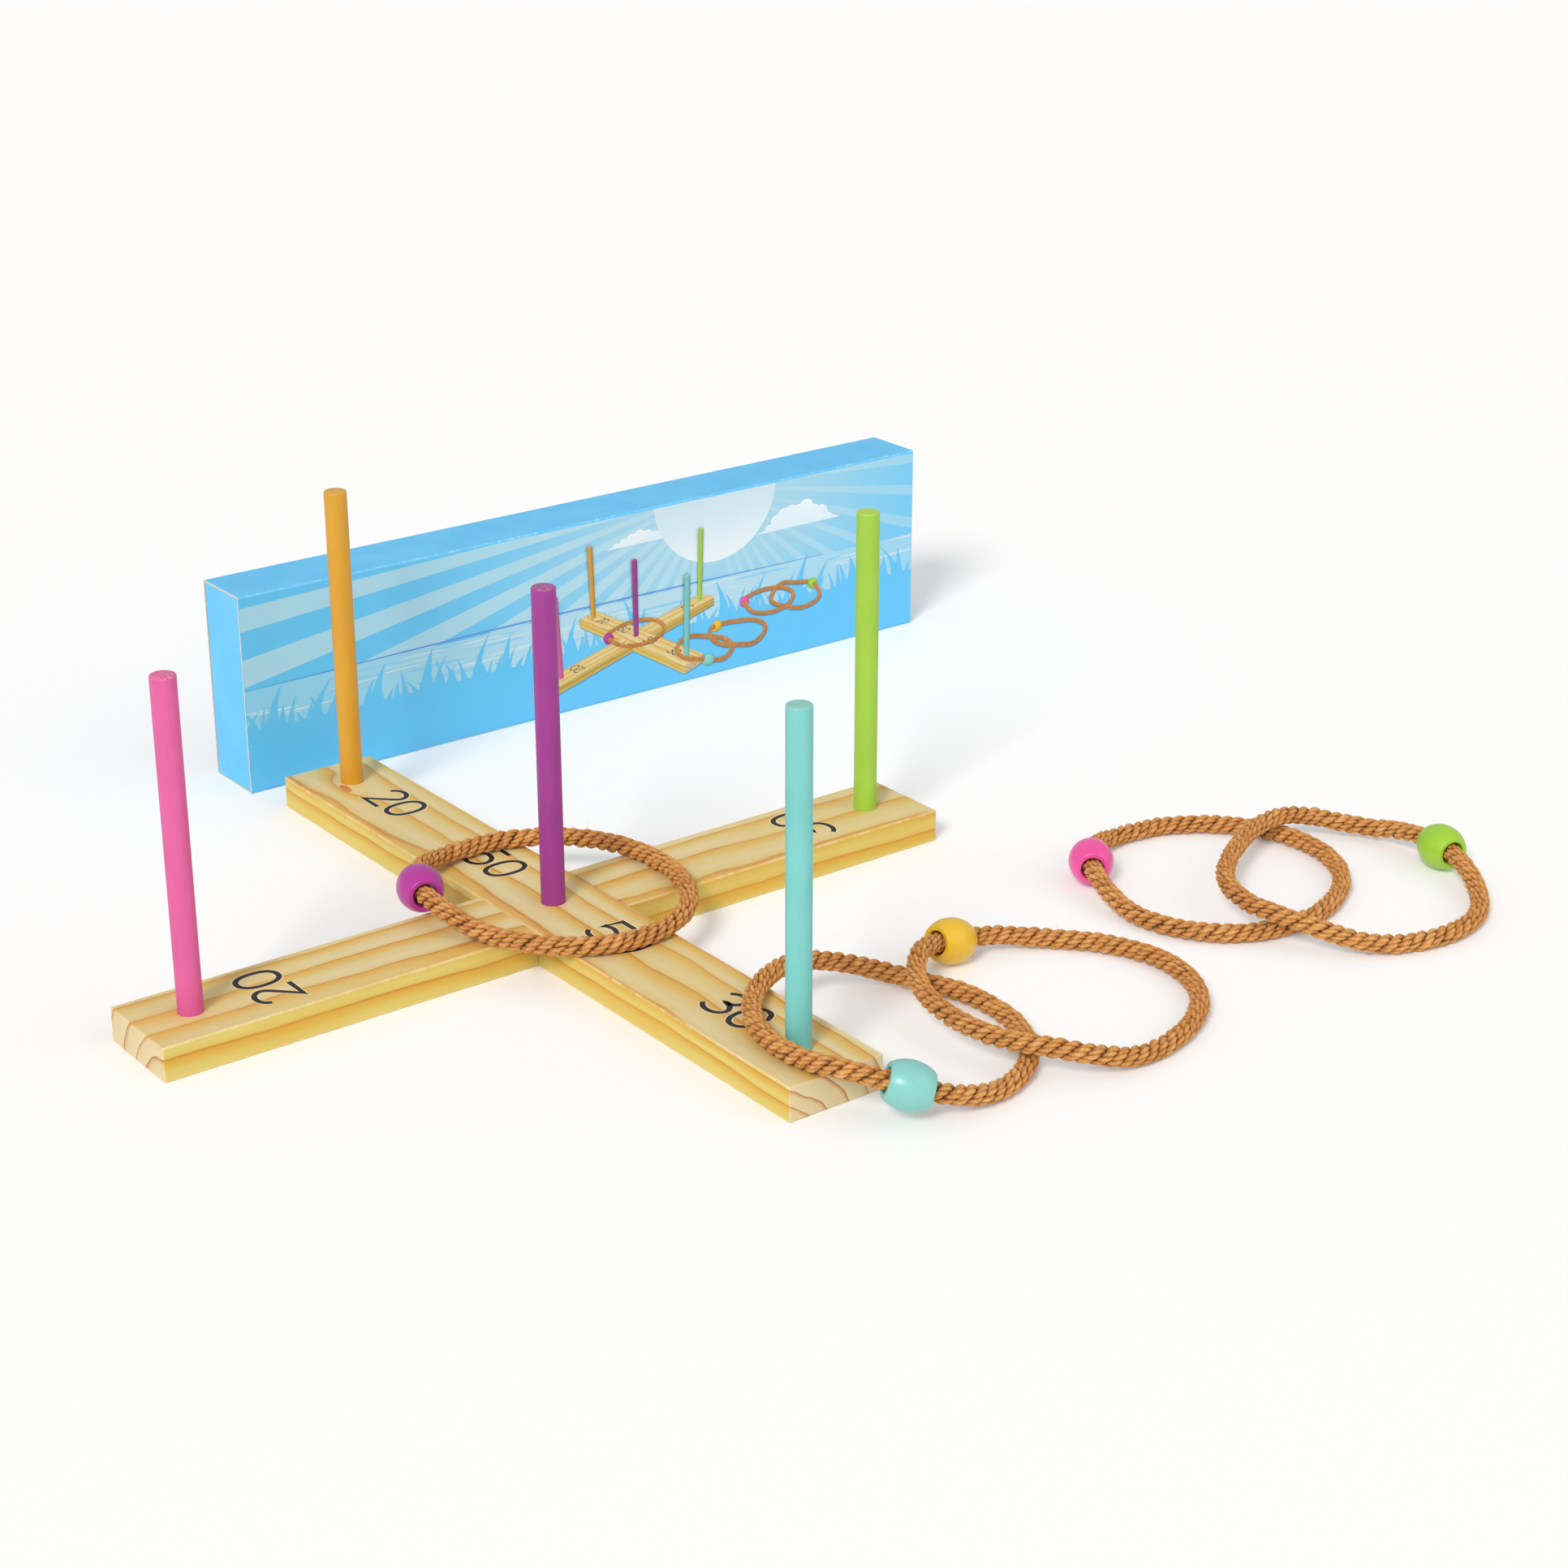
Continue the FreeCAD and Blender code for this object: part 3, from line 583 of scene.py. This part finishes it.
def board(name, printed_side):
    """Carton board: satin blue print outside, raw pale board inside and on the cut edges."""
    s = Shader(name)
    x, y, z = place = s.millimetres()
    nx, ny, _ = s.axes(s.place.outputs["Normal"])
    low, high = CARTON
    to_front, to_back = s.math("SUBTRACT", y, low[1]), s.math("SUBTRACT", high[1], y)
    to_floor, to_top = s.math("SUBTRACT", z, low[2]), s.math("SUBTRACT", high[2], z)
    across, upward = s.math("MINIMUM", to_front, to_back), s.math("MINIMUM", to_floor, to_top)
    if printed_side == 0:
        outside = s.step(s.math("MINIMUM", across, upward), 0.45, 0.35)
        mask = s.math("MULTIPLY", outside, s.step(s.math("ABSOLUTE", nx), 0.6, 0.4))
        corner = s.distance(across, upward)
        end = s.math("MINIMUM", s.math("SUBTRACT", x, low[0]), s.math("SUBTRACT", high[0], x))
        corner = s.math("MINIMUM", corner, s.math("MULTIPLY", end, 1.4))
    else:
        mask = s.math("MAXIMUM", s.step(s.math("MULTIPLY", nx, printed_side), 0.4, 0.6), s.step(ny, 0.5, 0.7))
        corner = s.math("ADD", s.math("MINIMUM", across, upward), 0.2)
    mottle = s.speckle(place, BOARD_MOTTLE, 3.0)
    fibre = s.speckle(place, (1.4, 0.35, 0.35), 3.0, 0.6)
    grit = s.noise(s.vector(*place), 3.2, 2.0, 0.6)
    blue = s.mix(s.step(mottle, 0.3, 0.7), linear(88, 187, 237), linear(98, 194, 240))
    blue = s.mix(s.step(grit, 0.55, 0.8, 0, 0.10), blue, linear(180, 222, 242))
    raw = s.mix(s.step(fibre, 0.35, 0.7), linear(226, 222, 212), linear(196, 190, 178))
    raw = s.mix(s.step(grit, 0.62, 0.75, 0, 0.5), raw, linear(140, 132, 120))
    chip = s.speckle(place, (2.6, 1.2, 1.2), 4.0, 0.65)
    rubbed = s.math("MULTIPLY", s.step(corner, 1.1, 0.5), s.step(chip, 0.5, 0.66, 0.03, 0.5))
    colour = s.mix(mask, raw, s.mix(rubbed, blue, linear(214, 234, 242)))
    rough = s.math("MULTIPLY_ADD", mask, -0.42, s.math("MULTIPLY_ADD", fibre, 0.1, 0.8))
    relief = s.math("MULTIPLY_ADD", grit, 0.16, s.math("MULTIPLY", fibre, 0.3))
    relief = s.math("MULTIPLY_ADD", mottle, 2.0, relief)
    return s.finish(Base_Color=colour, Roughness=rough, Normal=s.bump(relief, 0.00006, 0.5),
                    Specular_IOR_Level=0.4)


def printed_ink():
    """Offset print: the layer's own colour with a fine screen and the board's satin surface."""
    s = Shader("carton_print")
    paint = s.node("ShaderNodeVertexColor", layer_name="print").outputs[0]
    place = s.millimetres()
    grit = s.noise(s.vector(*place), 3.2, 2.0, 0.6)
    mottle = s.speckle(place, BOARD_MOTTLE, 3.0)
    tone = s.mix(s.step(grit, 0.55, 0.8, 0, 0.12), paint, linear(214, 232, 240))
    tone = s.mix(s.step(mottle, 0.35, 0.7, 0, 0.06), tone, linear(120, 190, 225))
    relief = s.math("MULTIPLY_ADD", mottle, 2.0, s.math("MULTIPLY", grit, 0.16))
    return s.finish(Base_Color=tone, Roughness=s.math("MULTIPLY_ADD", mottle, 0.1, 0.36),
                    Normal=s.bump(relief, 0.00006, 0.5), Specular_IOR_Level=0.4)


def clip(points, low, high):
    """An outline cut to the box between low and high (Sutherland-Hodgman)."""
    for axis, sign, bound in ((0, 1, low[0]), (0, -1, -high[0]), (1, 1, low[1]), (1, -1, -high[1])):
        kept = []
        for i, here in enumerate(points):
            before = points[i - 1]
            inside, was_inside = sign * here[axis] >= bound, sign * before[axis] >= bound
            if inside != was_inside:
                share = (bound - sign * before[axis]) / (sign * here[axis] - sign * before[axis])
                kept.append(tuple(b + (h - b) * share for b, h in zip(before, here)))
            if inside:
                kept.append(here)
        points = kept
        if len(points) < 3:
            return []
    return points


def blend_rgb(a, b, share):
    share = min(max(share, 0.0), 1.0)
    return tuple(p + (q - p) * share for p, q in zip(a, b))


def sky_colour(u, v):
    away = math.hypot(u - SUN_U, (v - SUN_V) * 1.3)
    glow = math.exp(-(max(away - 30, 0) / 105) ** 2)
    return blend_rgb(SKY, SKY_GLOW, 0.95 * glow * min(1, (v - 20) / 40))


class Print:
    """Flat shapes printed on the carton's front, in layers from back to front."""

    def __init__(self):
        self.layers = []

    def layer(self):
        self.layers.append([])

    def add(self, points, colour, lift=0.0):
        """An outline in one colour, or in a colour worked out for each point."""
        points = clip(points, PRINT_LOW, PRINT_HIGH)
        if points:
            shape = [(p, colour(*p) if callable(colour) else colour) for p in points]
            self.layers[-1].append((shape, lift))

    def add_over(self, points, colour):
        """The same for a shape that overlaps others of its layer."""
        self.add(points, colour, SHAPE_LIFT)


def print_sky(sheet):
    sheet.layer()
    columns, rows = 60, 16
    wide = (PRINT_HIGH[0] - PRINT_LOW[0]) / columns
    tall = (PRINT_HIGH[1] - PRINT_LOW[1]) / rows
    for i in range(columns):
        for j in range(rows):
            u, v = PRINT_LOW[0] + i * wide, PRINT_LOW[1] + j * tall
            sheet.add([(u, v), (u + wide, v), (u + wide, v + tall), (u, v + tall)], sky_colour)


def print_ray(sheet, first, wide, side, strength):
    """A ray of light below the horizontal, cut into short lengths so that it can fade."""
    near, far, parts = SUN_RADIUS * 0.9, 460.0, 24
    reach = np.linspace(near, far, parts + 1)
    for a, b in zip(reach, reach[1:]):
        corners = ((a, first), (b, first), (b, first + wide), (a, first + wide))
        outline = [(SUN_U + side * r * math.cos(math.radians(t)), SUN_V - r * math.sin(math.radians(t)))
                   for r, t in corners]
        sheet.add(outline, lambda u, v: blend_rgb(sky_colour(u, v), RAY, strength))


def print_rays(sheet):
    """Rays that widen as they turn down, broad to the left of the sun and fine to its right."""
    sheet.layer()
    for n in range(10):
        print_ray(sheet, 1.8 + 5 * n + 0.28 * n * n, 2.4 + 0.4 * n, -1, 0.82)
    for n in range(11):
        print_ray(sheet, 2 + 7.5 * n, 2.2 + 0.12 * n, 1, 0.55)


def print_cloud(sheet, rng, left, right, base, height, puffs):
    """A flat-bottomed cloud: a low mound and round puffs, each cut off at the base."""
    def shade(_, v):
        return blend_rgb(CLOUD_FOOT, CLOUD, (v - base) / height)

    sheet.layer()
    sheet.add_over([(left, base), (right, base), (right - 4, base + 1.8), (right - 10, base + 3.2),
                    (left + 12, base + 3.2), (left + 5, base + 1.6)], shade)
    for i in range(puffs):
        share = (i + 0.5) / puffs
        crown = math.sin(math.pi * share) ** 0.7
        radius = 1.8 + 0.27 * height * crown * rng.uniform(0.8, 1.15)
        middle = left + (right - left) * (0.1 + 0.8 * share)
        centre = base + max(height * crown * rng.uniform(0.8, 1) - radius, 0.5)
        outline = [(middle + radius * math.cos(t), centre + radius * math.sin(t))
                   for t in np.linspace(0, math.tau, 28, endpoint=False)]
        sheet.add_over(clip(outline, (left, base), (right, PRINT_HIGH[1])), shade)


def print_sun(sheet):
    sheet.layer()
    turns = np.linspace(0, math.tau, 41)
    for turn, after in zip(turns, turns[1:]):
        for inner, outer in ((0, 0.5), (0.5, 1)):
            corners = ((inner, turn), (outer, turn), (outer, after), (inner, after))
            sheet.add([(SUN_U + SUN_RADIUS * r * math.cos(t), SUN_V + SUN_RADIUS * r * math.sin(t))
                       for r, t in corners],
                      lambda _, v: blend_rgb(SUN_FOOT, SUN, (v - SUN_V + SUN_RADIUS) / SUN_RADIUS))


def print_water(sheet, rng):
    """Pale water up to the horizon, paler in the middle, with long glints and a blue line."""
    sheet.layer()
    edges = np.linspace(PRINT_LOW[0], PRINT_HIGH[0], 61)
    for u, after in zip(edges, edges[1:]):
        sheet.add([(u, WATER_FOOT), (after, WATER_FOOT), (after, HORIZON - 1.2), (u, HORIZON - 1.2)],
                  lambda u, _: blend_rgb(WATER, WATER_PALE, math.exp(-((u - 250) / 210) ** 2)))
    sheet.layer()
    for _ in range(64):
        u, v = rng.uniform(-10, FRONT_WIDE), rng.uniform(SHORE + 1, HORIZON - 2.4)
        reach, thick = rng.uniform(12, 48), rng.uniform(0.35, 1.1)
        top = [(u + reach * t, v + thick * math.sin(math.pi * t) ** 0.6) for t in (0, .2, .5, .8, 1)]
        foot = [(u + reach * t, v - 0.4 * thick * math.sin(math.pi * t)) for t in (.8, .5, .2)]
        sheet.add_over(top + foot, GLINT if rng.random() < 0.62 else RIPPLE)
    sheet.layer()
    across = np.linspace(0, 0.85 * PRINT_HIGH[0], 12)
    swell = 0.8 * np.sin(np.pi * across / across[-1])
    sheet.add([(u, HORIZON - 1.4 + w) for u, w in zip(across, 1.8 * swell)]
              + [(u, HORIZON - 1.3 + 2.9 * w) for u, w in zip(across[::-1], swell)], INK_BLUE)


def print_blade(sheet, u, lean, height, wide):
    """A blade of grass that tapers to its tip and curls over to one side."""
    foot = SHORE - 6
    left, right = [], []
    for t in np.linspace(0, 1, 10):
        middle = u + lean * t ** 2.2
        half = wide / 2 * ((1 - t) ** 0.9 + 0.8 * (1 - t) ** 5)
        level = foot + (height - foot) * t
        left.append((middle - half, level))
        right.append((middle + half, level))
    sheet.add_over(left + right[::-1], SKY)


def print_grass(sheet, rng):
    """A bank in the sky's own blue with a fringe of low blades and some tall ones."""
    sheet.layer()
    bank = SHORE - 2
    sheet.add([(0, 0), (FRONT_WIDE, 0), (FRONT_WIDE, bank), (0, bank)], SKY)
    for first, last, gaps, lean, height, wide in ((14, 422, (10, 32), (4, 13), (50, 57.5), (5, 8.5)),
                                                  (1, 428, (3, 7), (1, 7), (37, 49), (3, 5.5))):
        for u in scatter(rng, first, last, *gaps):
            curl = rng.choice((-1, 1)) * rng.uniform(*lean)
            print_blade(sheet, u, curl, rng.uniform(*height), rng.uniform(*wide))


def scatter(rng, first, last, near, far):
    """Places from first to last with uneven gaps."""
    place = first
    while place < last:
        yield place
        place += rng.uniform(near, far)


def print_front():
    """The front's landscape as thin ink layers standing just off the board."""
    rng = random.Random(12)
    sheet = Print()
    print_sky(sheet)
    print_rays(sheet)
    print_cloud(sheet, rng, left=217, right=262, base=85.4, height=8, puffs=7)
    print_sun(sheet)
    print_cloud(sheet, rng, left=318, right=377, base=75, height=15.5, puffs=9)
    print_water(sheet, rng)
    print_grass(sheet, rng)
    vertices, faces, colours = [], [], []
    lift = 0.0
    for layer in sheet.layers:
        lift += LAYER_LIFT
        for shape, over in layer:
            lift += over
            start = len(vertices)
            vertices += [(FRONT_LEFT + p[0], FRONT_FACE - lift, p[1]) for p, _ in shape]
            colours += [(*linear(*rgb), 1.0) for _, rgb in shape]
            outline = [Vector((p[0], p[1], 0)) for p, _ in shape]
            for corner in tessellate_polygon([outline]):
                a, b, c = (outline[i] for i in corner)
                up = (b - a).cross(c - a).z
                if abs(up) > 1e-9:
                    faces.append(tuple(start + i for i in (corner if up > 0 else corner[::-1])))
    obj = mesh_object("carton_front_print", vertices, faces)
    layer = obj.data.color_attributes.new("print", "FLOAT_COLOR", "POINT")
    layer.data.foreach_set("color", np.array(colours, np.float32).ravel())
    obj.data.materials.append(printed_ink())
    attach(obj, "carton")


# ---------------------------------------- the picture of the set on the carton

PICTURE_DISTANCE, PICTURE_TARGET, PICTURE_ROLL = 1381.0, (81.4, -60.4, 40.0), 0.82
PICTURE_FOCAL, PICTURE_ACROSS, PICTURE_UP = 421.6, 266.7, 40.4
RELIEF, PICTURE_LIFT, SHADOW_LIFT = 0.004, 0.28, 0.24     # lift per mm of height, and over the board
PICTURE_LIGHT = np.array((-0.72, -0.35, 0.6))
AMBIENT, DIRECT, FROM_ABOVE = 0.56, 0.5, 0.1
DROP_SHADOW, SHADOW_ACROSS, SHADOW_DOWN, SHADOW_RELIEF = (58, 132, 178), 0.25, 0.55, 0.05
HALO_BIAS, INK_BIAS = 0.01, 0.02          # keep the scores over the planks they lie on
PICTURE_ROPE_SAMPLES, CORD_SAMPLES, CORD_SIDES = 240, 160, 8


def picture_axes():
    """The picture's right and up, after its roll, and the direction to its viewpoint."""
    azimuth, roll = math.radians(CAMERA_AZIMUTH), math.radians(PICTURE_ROLL)
    back = np.array(toward_camera())
    right = np.array((math.cos(azimuth), math.sin(azimuth), 0))
    up = np.cross(back, right)
    return (math.cos(roll) * right + math.sin(roll) * up, math.cos(roll) * up - math.sin(roll) * right, back)


def printed_version(material):
    """The same finish as flat ink: read from the stored rest place, shaded by the picture's light."""
    copy = material.copy()
    copy.name = f"picture_{material.name}"
    tree = copy.node_tree
    stored = {}
    for name in ("rest", "facing", "light"):
        stored[name] = tree.nodes.new("ShaderNodeAttribute")
        stored[name].attribute_name = name
    surface = next(node for node in tree.nodes if node.type == "BSDF_PRINCIPLED")
    for link in list(tree.links):
        source, target = link.from_socket, link.to_socket
        if link.from_node.type == "TEX_COORD" and source.name in ("Object", "Normal"):
            name = "rest" if source.name == "Object" else "facing"
            tree.links.remove(link)
            tree.links.new(stored[name].outputs["Vector"], target)
        elif link.to_node == surface and target.name in ("Normal", "Roughness"):
            tree.links.remove(link)
        elif link.to_node == surface and target.name == "Base Color":
            shaded = tree.nodes.new("ShaderNodeMix")
            shaded.data_type, shaded.blend_type = "RGBA", "MULTIPLY"
            shaded.inputs[0].default_value = 1
            tree.links.new(source, shaded.inputs[6])
            tree.links.new(stored["light"].outputs["Fac"], shaded.inputs[7])
            tree.links.new(shaded.outputs[2], target)
    surface.inputs["Roughness"].default_value = 0.4
    surface.inputs["Coat Weight"].default_value = 0
    surface.inputs["Sheen Weight"].default_value = 0
    return copy


def read(items, key, width=1, kind=np.float32):
    """One value of each of a mesh's items, as an array with a row for each item."""
    values = np.empty(len(items) * width, kind)
    items.foreach_get(key, values)
    return values.reshape(-1, width) if width > 1 else values


def seen_faces(mesh, across, height):
    """Corner vertices of the faces turned to the picture's viewpoint, and which corners they are."""
    corners = read(mesh.loops, "vertex_index", kind=np.int32).reshape(-1, mesh.polygons[0].loop_total)
    u, v = across[corners], height[corners]
    area = (u * np.roll(v, -1, 1) - v * np.roll(u, -1, 1)).sum(1)
    seen = area > 1e-7
    return corners[seen], np.arange(corners.size).reshape(corners.shape)[seen]


def flatten(source, name, bias=0.0, shadow=False):
    """A shallow copy of a piece on the carton's front, as seen from the picture's viewpoint."""
    mesh = source.data
    right, up, back = picture_axes()
    rest = read(mesh.vertices, "co", 3)
    away = rest / MM - (np.array(PICTURE_TARGET) + back * PICTURE_DISTANCE)
    depth = -(away @ back)
    across = PICTURE_ACROSS + PICTURE_FOCAL * (away @ right) / depth
    height = PICTURE_UP + PICTURE_FOCAL * (away @ up) / depth
    lift = PICTURE_LIFT + bias + rest[:, 2] / MM * RELIEF
    if shadow:
        across, height = across + SHADOW_ACROSS, height - SHADOW_DOWN
        lift = SHADOW_LIFT + rest[:, 2] / MM * RELIEF * SHADOW_RELIEF
    flat = np.stack([FRONT_LEFT + across, FRONT_FACE - lift, height], 1)
    faces, places = seen_faces(mesh, across, height)
    used, faces = np.unique(faces, return_inverse=True)
    faces = faces.reshape(places.shape)
    obj = mesh_object(name, flat[used], faces)
    made = obj.data
    if shadow:
        layer = made.color_attributes.new("print", "FLOAT_COLOR", "POINT")
        colour = np.tile((*linear(*DROP_SHADOW), 1.0), len(used))
        layer.data.foreach_set("color", colour.astype(np.float32))
        return obj
    normals = read(mesh.corner_normals, "vector", 3)[places.ravel()]
    lit = AMBIENT + DIRECT * np.clip(normals @ PICTURE_LIGHT, 0, 1) + FROM_ABOVE * normals[:, 2]
    for label, kind, domain, key, values in (
            ("rest", "FLOAT_VECTOR", "POINT", "vector", rest[used]),
            ("facing", "FLOAT_VECTOR", "CORNER", "vector", normals),
            ("light", "FLOAT", "CORNER", "value", lit)):
        made.attributes.new(label, kind, domain).data.foreach_set(key, values.astype(np.float32).ravel())
    if "outward" in mesh.attributes:
        outward = read(mesh.attributes["outward"].data, "value")
        made.attributes.new("outward", "FLOAT", "POINT").data.foreach_set("value", outward[used])
        along = read(mesh.uv_layers[0].data, "uv", 2)[places.ravel()]
        made.uv_layers.new(name="along").data.foreach_set("uv", along.ravel())
    return obj


def print_picture(fibre, marks):
    """The set printed on the carton: every piece flattened, over thin drop shadows."""
    planks = [NODES["lower_plank"], NODES["upper_plank"]]
    solids = planks + [NODES[f"peg_{c}"] for c in PEG_PAINT] + [NODES[f"bead_{ring}"] for ring in RINGS]
    ropes = [laid_rope(ring, ROPE_SEED + number, PICTURE_ROPE_SAMPLES, hairs=0)
             for number, ring in enumerate(RINGS)]
    for ring, rope in zip(RINGS, ropes):
        rope.name = f"rope_{ring}_print"
        rope.data.materials.append(fibre)
    shown = [(obj, 0.0) for obj in solids + ropes]
    shown += [(obj, INK_BIAS if "ink" in obj.name else HALO_BIAS) for obj in marks]
    finishes, made = {}, []
    for source, bias in shown:
        material = source.data.materials[0]
        if material.name not in finishes:
            finishes[material.name] = printed_version(material)
        made.append(flatten(source, f"picture_{source.name}", bias))
        made[-1].data.materials.append(finishes[material.name])
    cords = []
    for ring in RINGS:
        vertices, faces, _ = tube(centre_line(f"rope_{ring}", CORD_SAMPLES), ROPE_RADIUS, CORD_SIDES)
        cords.append(mesh_object(f"cord_{ring}", vertices, faces))
    for source in planks + cords:
        made.append(flatten(source, f"picture_shadow_{source.name}", shadow=True))
        made[-1].data.materials.append(bpy.data.materials["carton_print"])
    for helper in ropes + cords:
        bpy.data.objects.remove(helper)
    for obj in made:
        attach(obj, "carton")


# ---------------------------------------- stage

WORLD_LIGHT, WORLD_SEEN = 0.58, 0.98     # how strongly the world lights things, and how it looks itself
FLOOR_REACH = 60.0


def studio_floor():
    """A plain pale surface that glows faintly, so that it meets the white world without an edge."""
    s = Shader("studio_floor")
    return s.finish(Base_Color=(0.86, 0.86, 0.86), Roughness=0.7, Specular_IOR_Level=0.1,
                    Emission_Color=(1, 1, 1), Emission_Strength=0.1)


def make_floor():
    mesh = bpy.data.meshes.new("studio_floor")
    corners = [(FLOOR_REACH * x, FLOOR_REACH * y, 0) for x, y in ((-1, -1), (1, -1), (1, 1), (-1, 1))]
    mesh.from_pydata(corners, [], [(0, 1, 2, 3)])
    floor = bpy.data.objects.new("studio_floor", mesh)
    bpy.context.scene.collection.objects.link(floor)
    mesh.materials.append(studio_floor())


def soft_sun(name, toward, strength, angle, colour=(1, 1, 1)):
    """A wide distant light that stands in the direction toward."""
    data = bpy.data.lights.new(name, "SUN")
    data.energy, data.angle, data.color = strength, math.radians(angle), colour
    lamp = bpy.data.objects.new(name, data)
    lamp.rotation_mode = "QUATERNION"
    lamp.rotation_quaternion = (-Vector(toward)).to_track_quat("-Z", "Y")
    bpy.context.scene.collection.objects.link(lamp)


def make_stage():
    make_floor()
    world = bpy.data.worlds.new("studio")
    world.use_nodes = True
    world.node_tree.nodes["Background"].inputs[0].default_value = (1, 1, 1, 1)
    tree = world.node_tree
    seen = tree.nodes.new("ShaderNodeLightPath").outputs["Is Camera Ray"]
    strength = tree.nodes.new("ShaderNodeMapRange")
    strength.inputs["To Min"].default_value = WORLD_LIGHT
    strength.inputs["To Max"].default_value = WORLD_SEEN
    tree.links.new(seen, strength.inputs["Value"])
    tree.links.new(strength.outputs[0], tree.nodes["Background"].inputs[1])
    bpy.context.scene.world = world
    soft_sun("key", (-0.85, -0.5, 0.8), 1.95, 18, (1.0, 0.985, 0.96))
    soft_sun("fill", (0.6, -0.9, 0.7), 0.45, 50)
    bpy.context.scene.view_settings.view_transform = "Standard"


def make_camera():
    data = bpy.data.cameras.new("camera")
    data.angle = math.radians(CAMERA_FIELD)
    camera = bpy.data.objects.new("camera", data)
    back = Vector(toward_camera())
    camera.location = Vector(CAMERA_TARGET) + back * CAMERA_DISTANCE
    camera.rotation_mode = "QUATERNION"
    camera.rotation_quaternion = (-back).to_track_quat("-Z", "Y")
    data.clip_start = 0.01
    bpy.context.scene.collection.objects.link(camera)
    bpy.context.scene.camera = camera


# ---------------------------------------- everything together

# each paint's colour, and the darker one in its grain
PEG_PAINT = {"pink": ((216, 93, 153), (200, 71, 136)), "orange": ((212, 156, 42), (196, 134, 32)),
             "purple": ((156, 54, 142), (134, 40, 122)), "cyan": ((120, 197, 191), (99, 181, 178)),
             "lime": ((160, 203, 68), (142, 187, 56))}
BEAD_PAINT = {"pink": ((234, 80, 158), (218, 62, 140)), "green": ((156, 203, 50), (138, 186, 36)),
              "yellow": ((230, 184, 38), (216, 164, 26)), "cyan": ((132, 198, 191), (114, 184, 177)),
              "purple": ((178, 48, 150), (156, 34, 132))}


def main():
    for node in NODES.values():
        smooth(node)
    paint_node("lower_plank", pine("pine_lower", "x", pith=(-26, -10, 0.012), knots=[], shift=0,
                                   spacing=11.5))
    paint_node("upper_plank", pine("pine_upper", "y", pith=(-30, -14, -0.01), knots=[(173.5, -7.4, 2.4)],
                                   shift=700, spacing=9.5))
    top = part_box("peg_purple")[1].z / MM
    for colour, (paint, shade) in PEG_PAINT.items():
        finish = painted(f"peg_paint_{colour}", linear(*paint), linear(*shade), grain_length=14,
                         roughness=0.5, bare=linear(232, 198, 148), tip=top)
        paint_node(f"peg_{colour}", finish)
    for colour, (paint, shade) in BEAD_PAINT.items():
        finish = painted(f"bead_paint_{colour}", linear(*paint), linear(*shade), grain_length=1.2,
                         roughness=0.36, coat=0.25)
        paint_node(f"bead_{colour}", finish)
    fibre = rope_fibre()
    for number, ring in enumerate(RINGS):
        rope = laid_rope(ring, ROPE_SEED + number)
        rope.data.materials.append(fibre)
        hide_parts(f"rope_{ring}")
        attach(rope, f"ring_{ring}")
    marks = score_marks()
    paint_node("carton_sleeve", board("carton_board_sleeve", 0))
    for end, side in (("left", -1), ("right", 1)):
        finish = board(f"carton_board_{end}", side)
        for flap in (f"tuck_flap_{end}", f"dust_flap_{end}_top", f"dust_flap_{end}_bottom"):
            paint_node(flap, finish)
    print_front()
    print_picture(fibre, marks)
    make_stage()
    make_camera()


main()
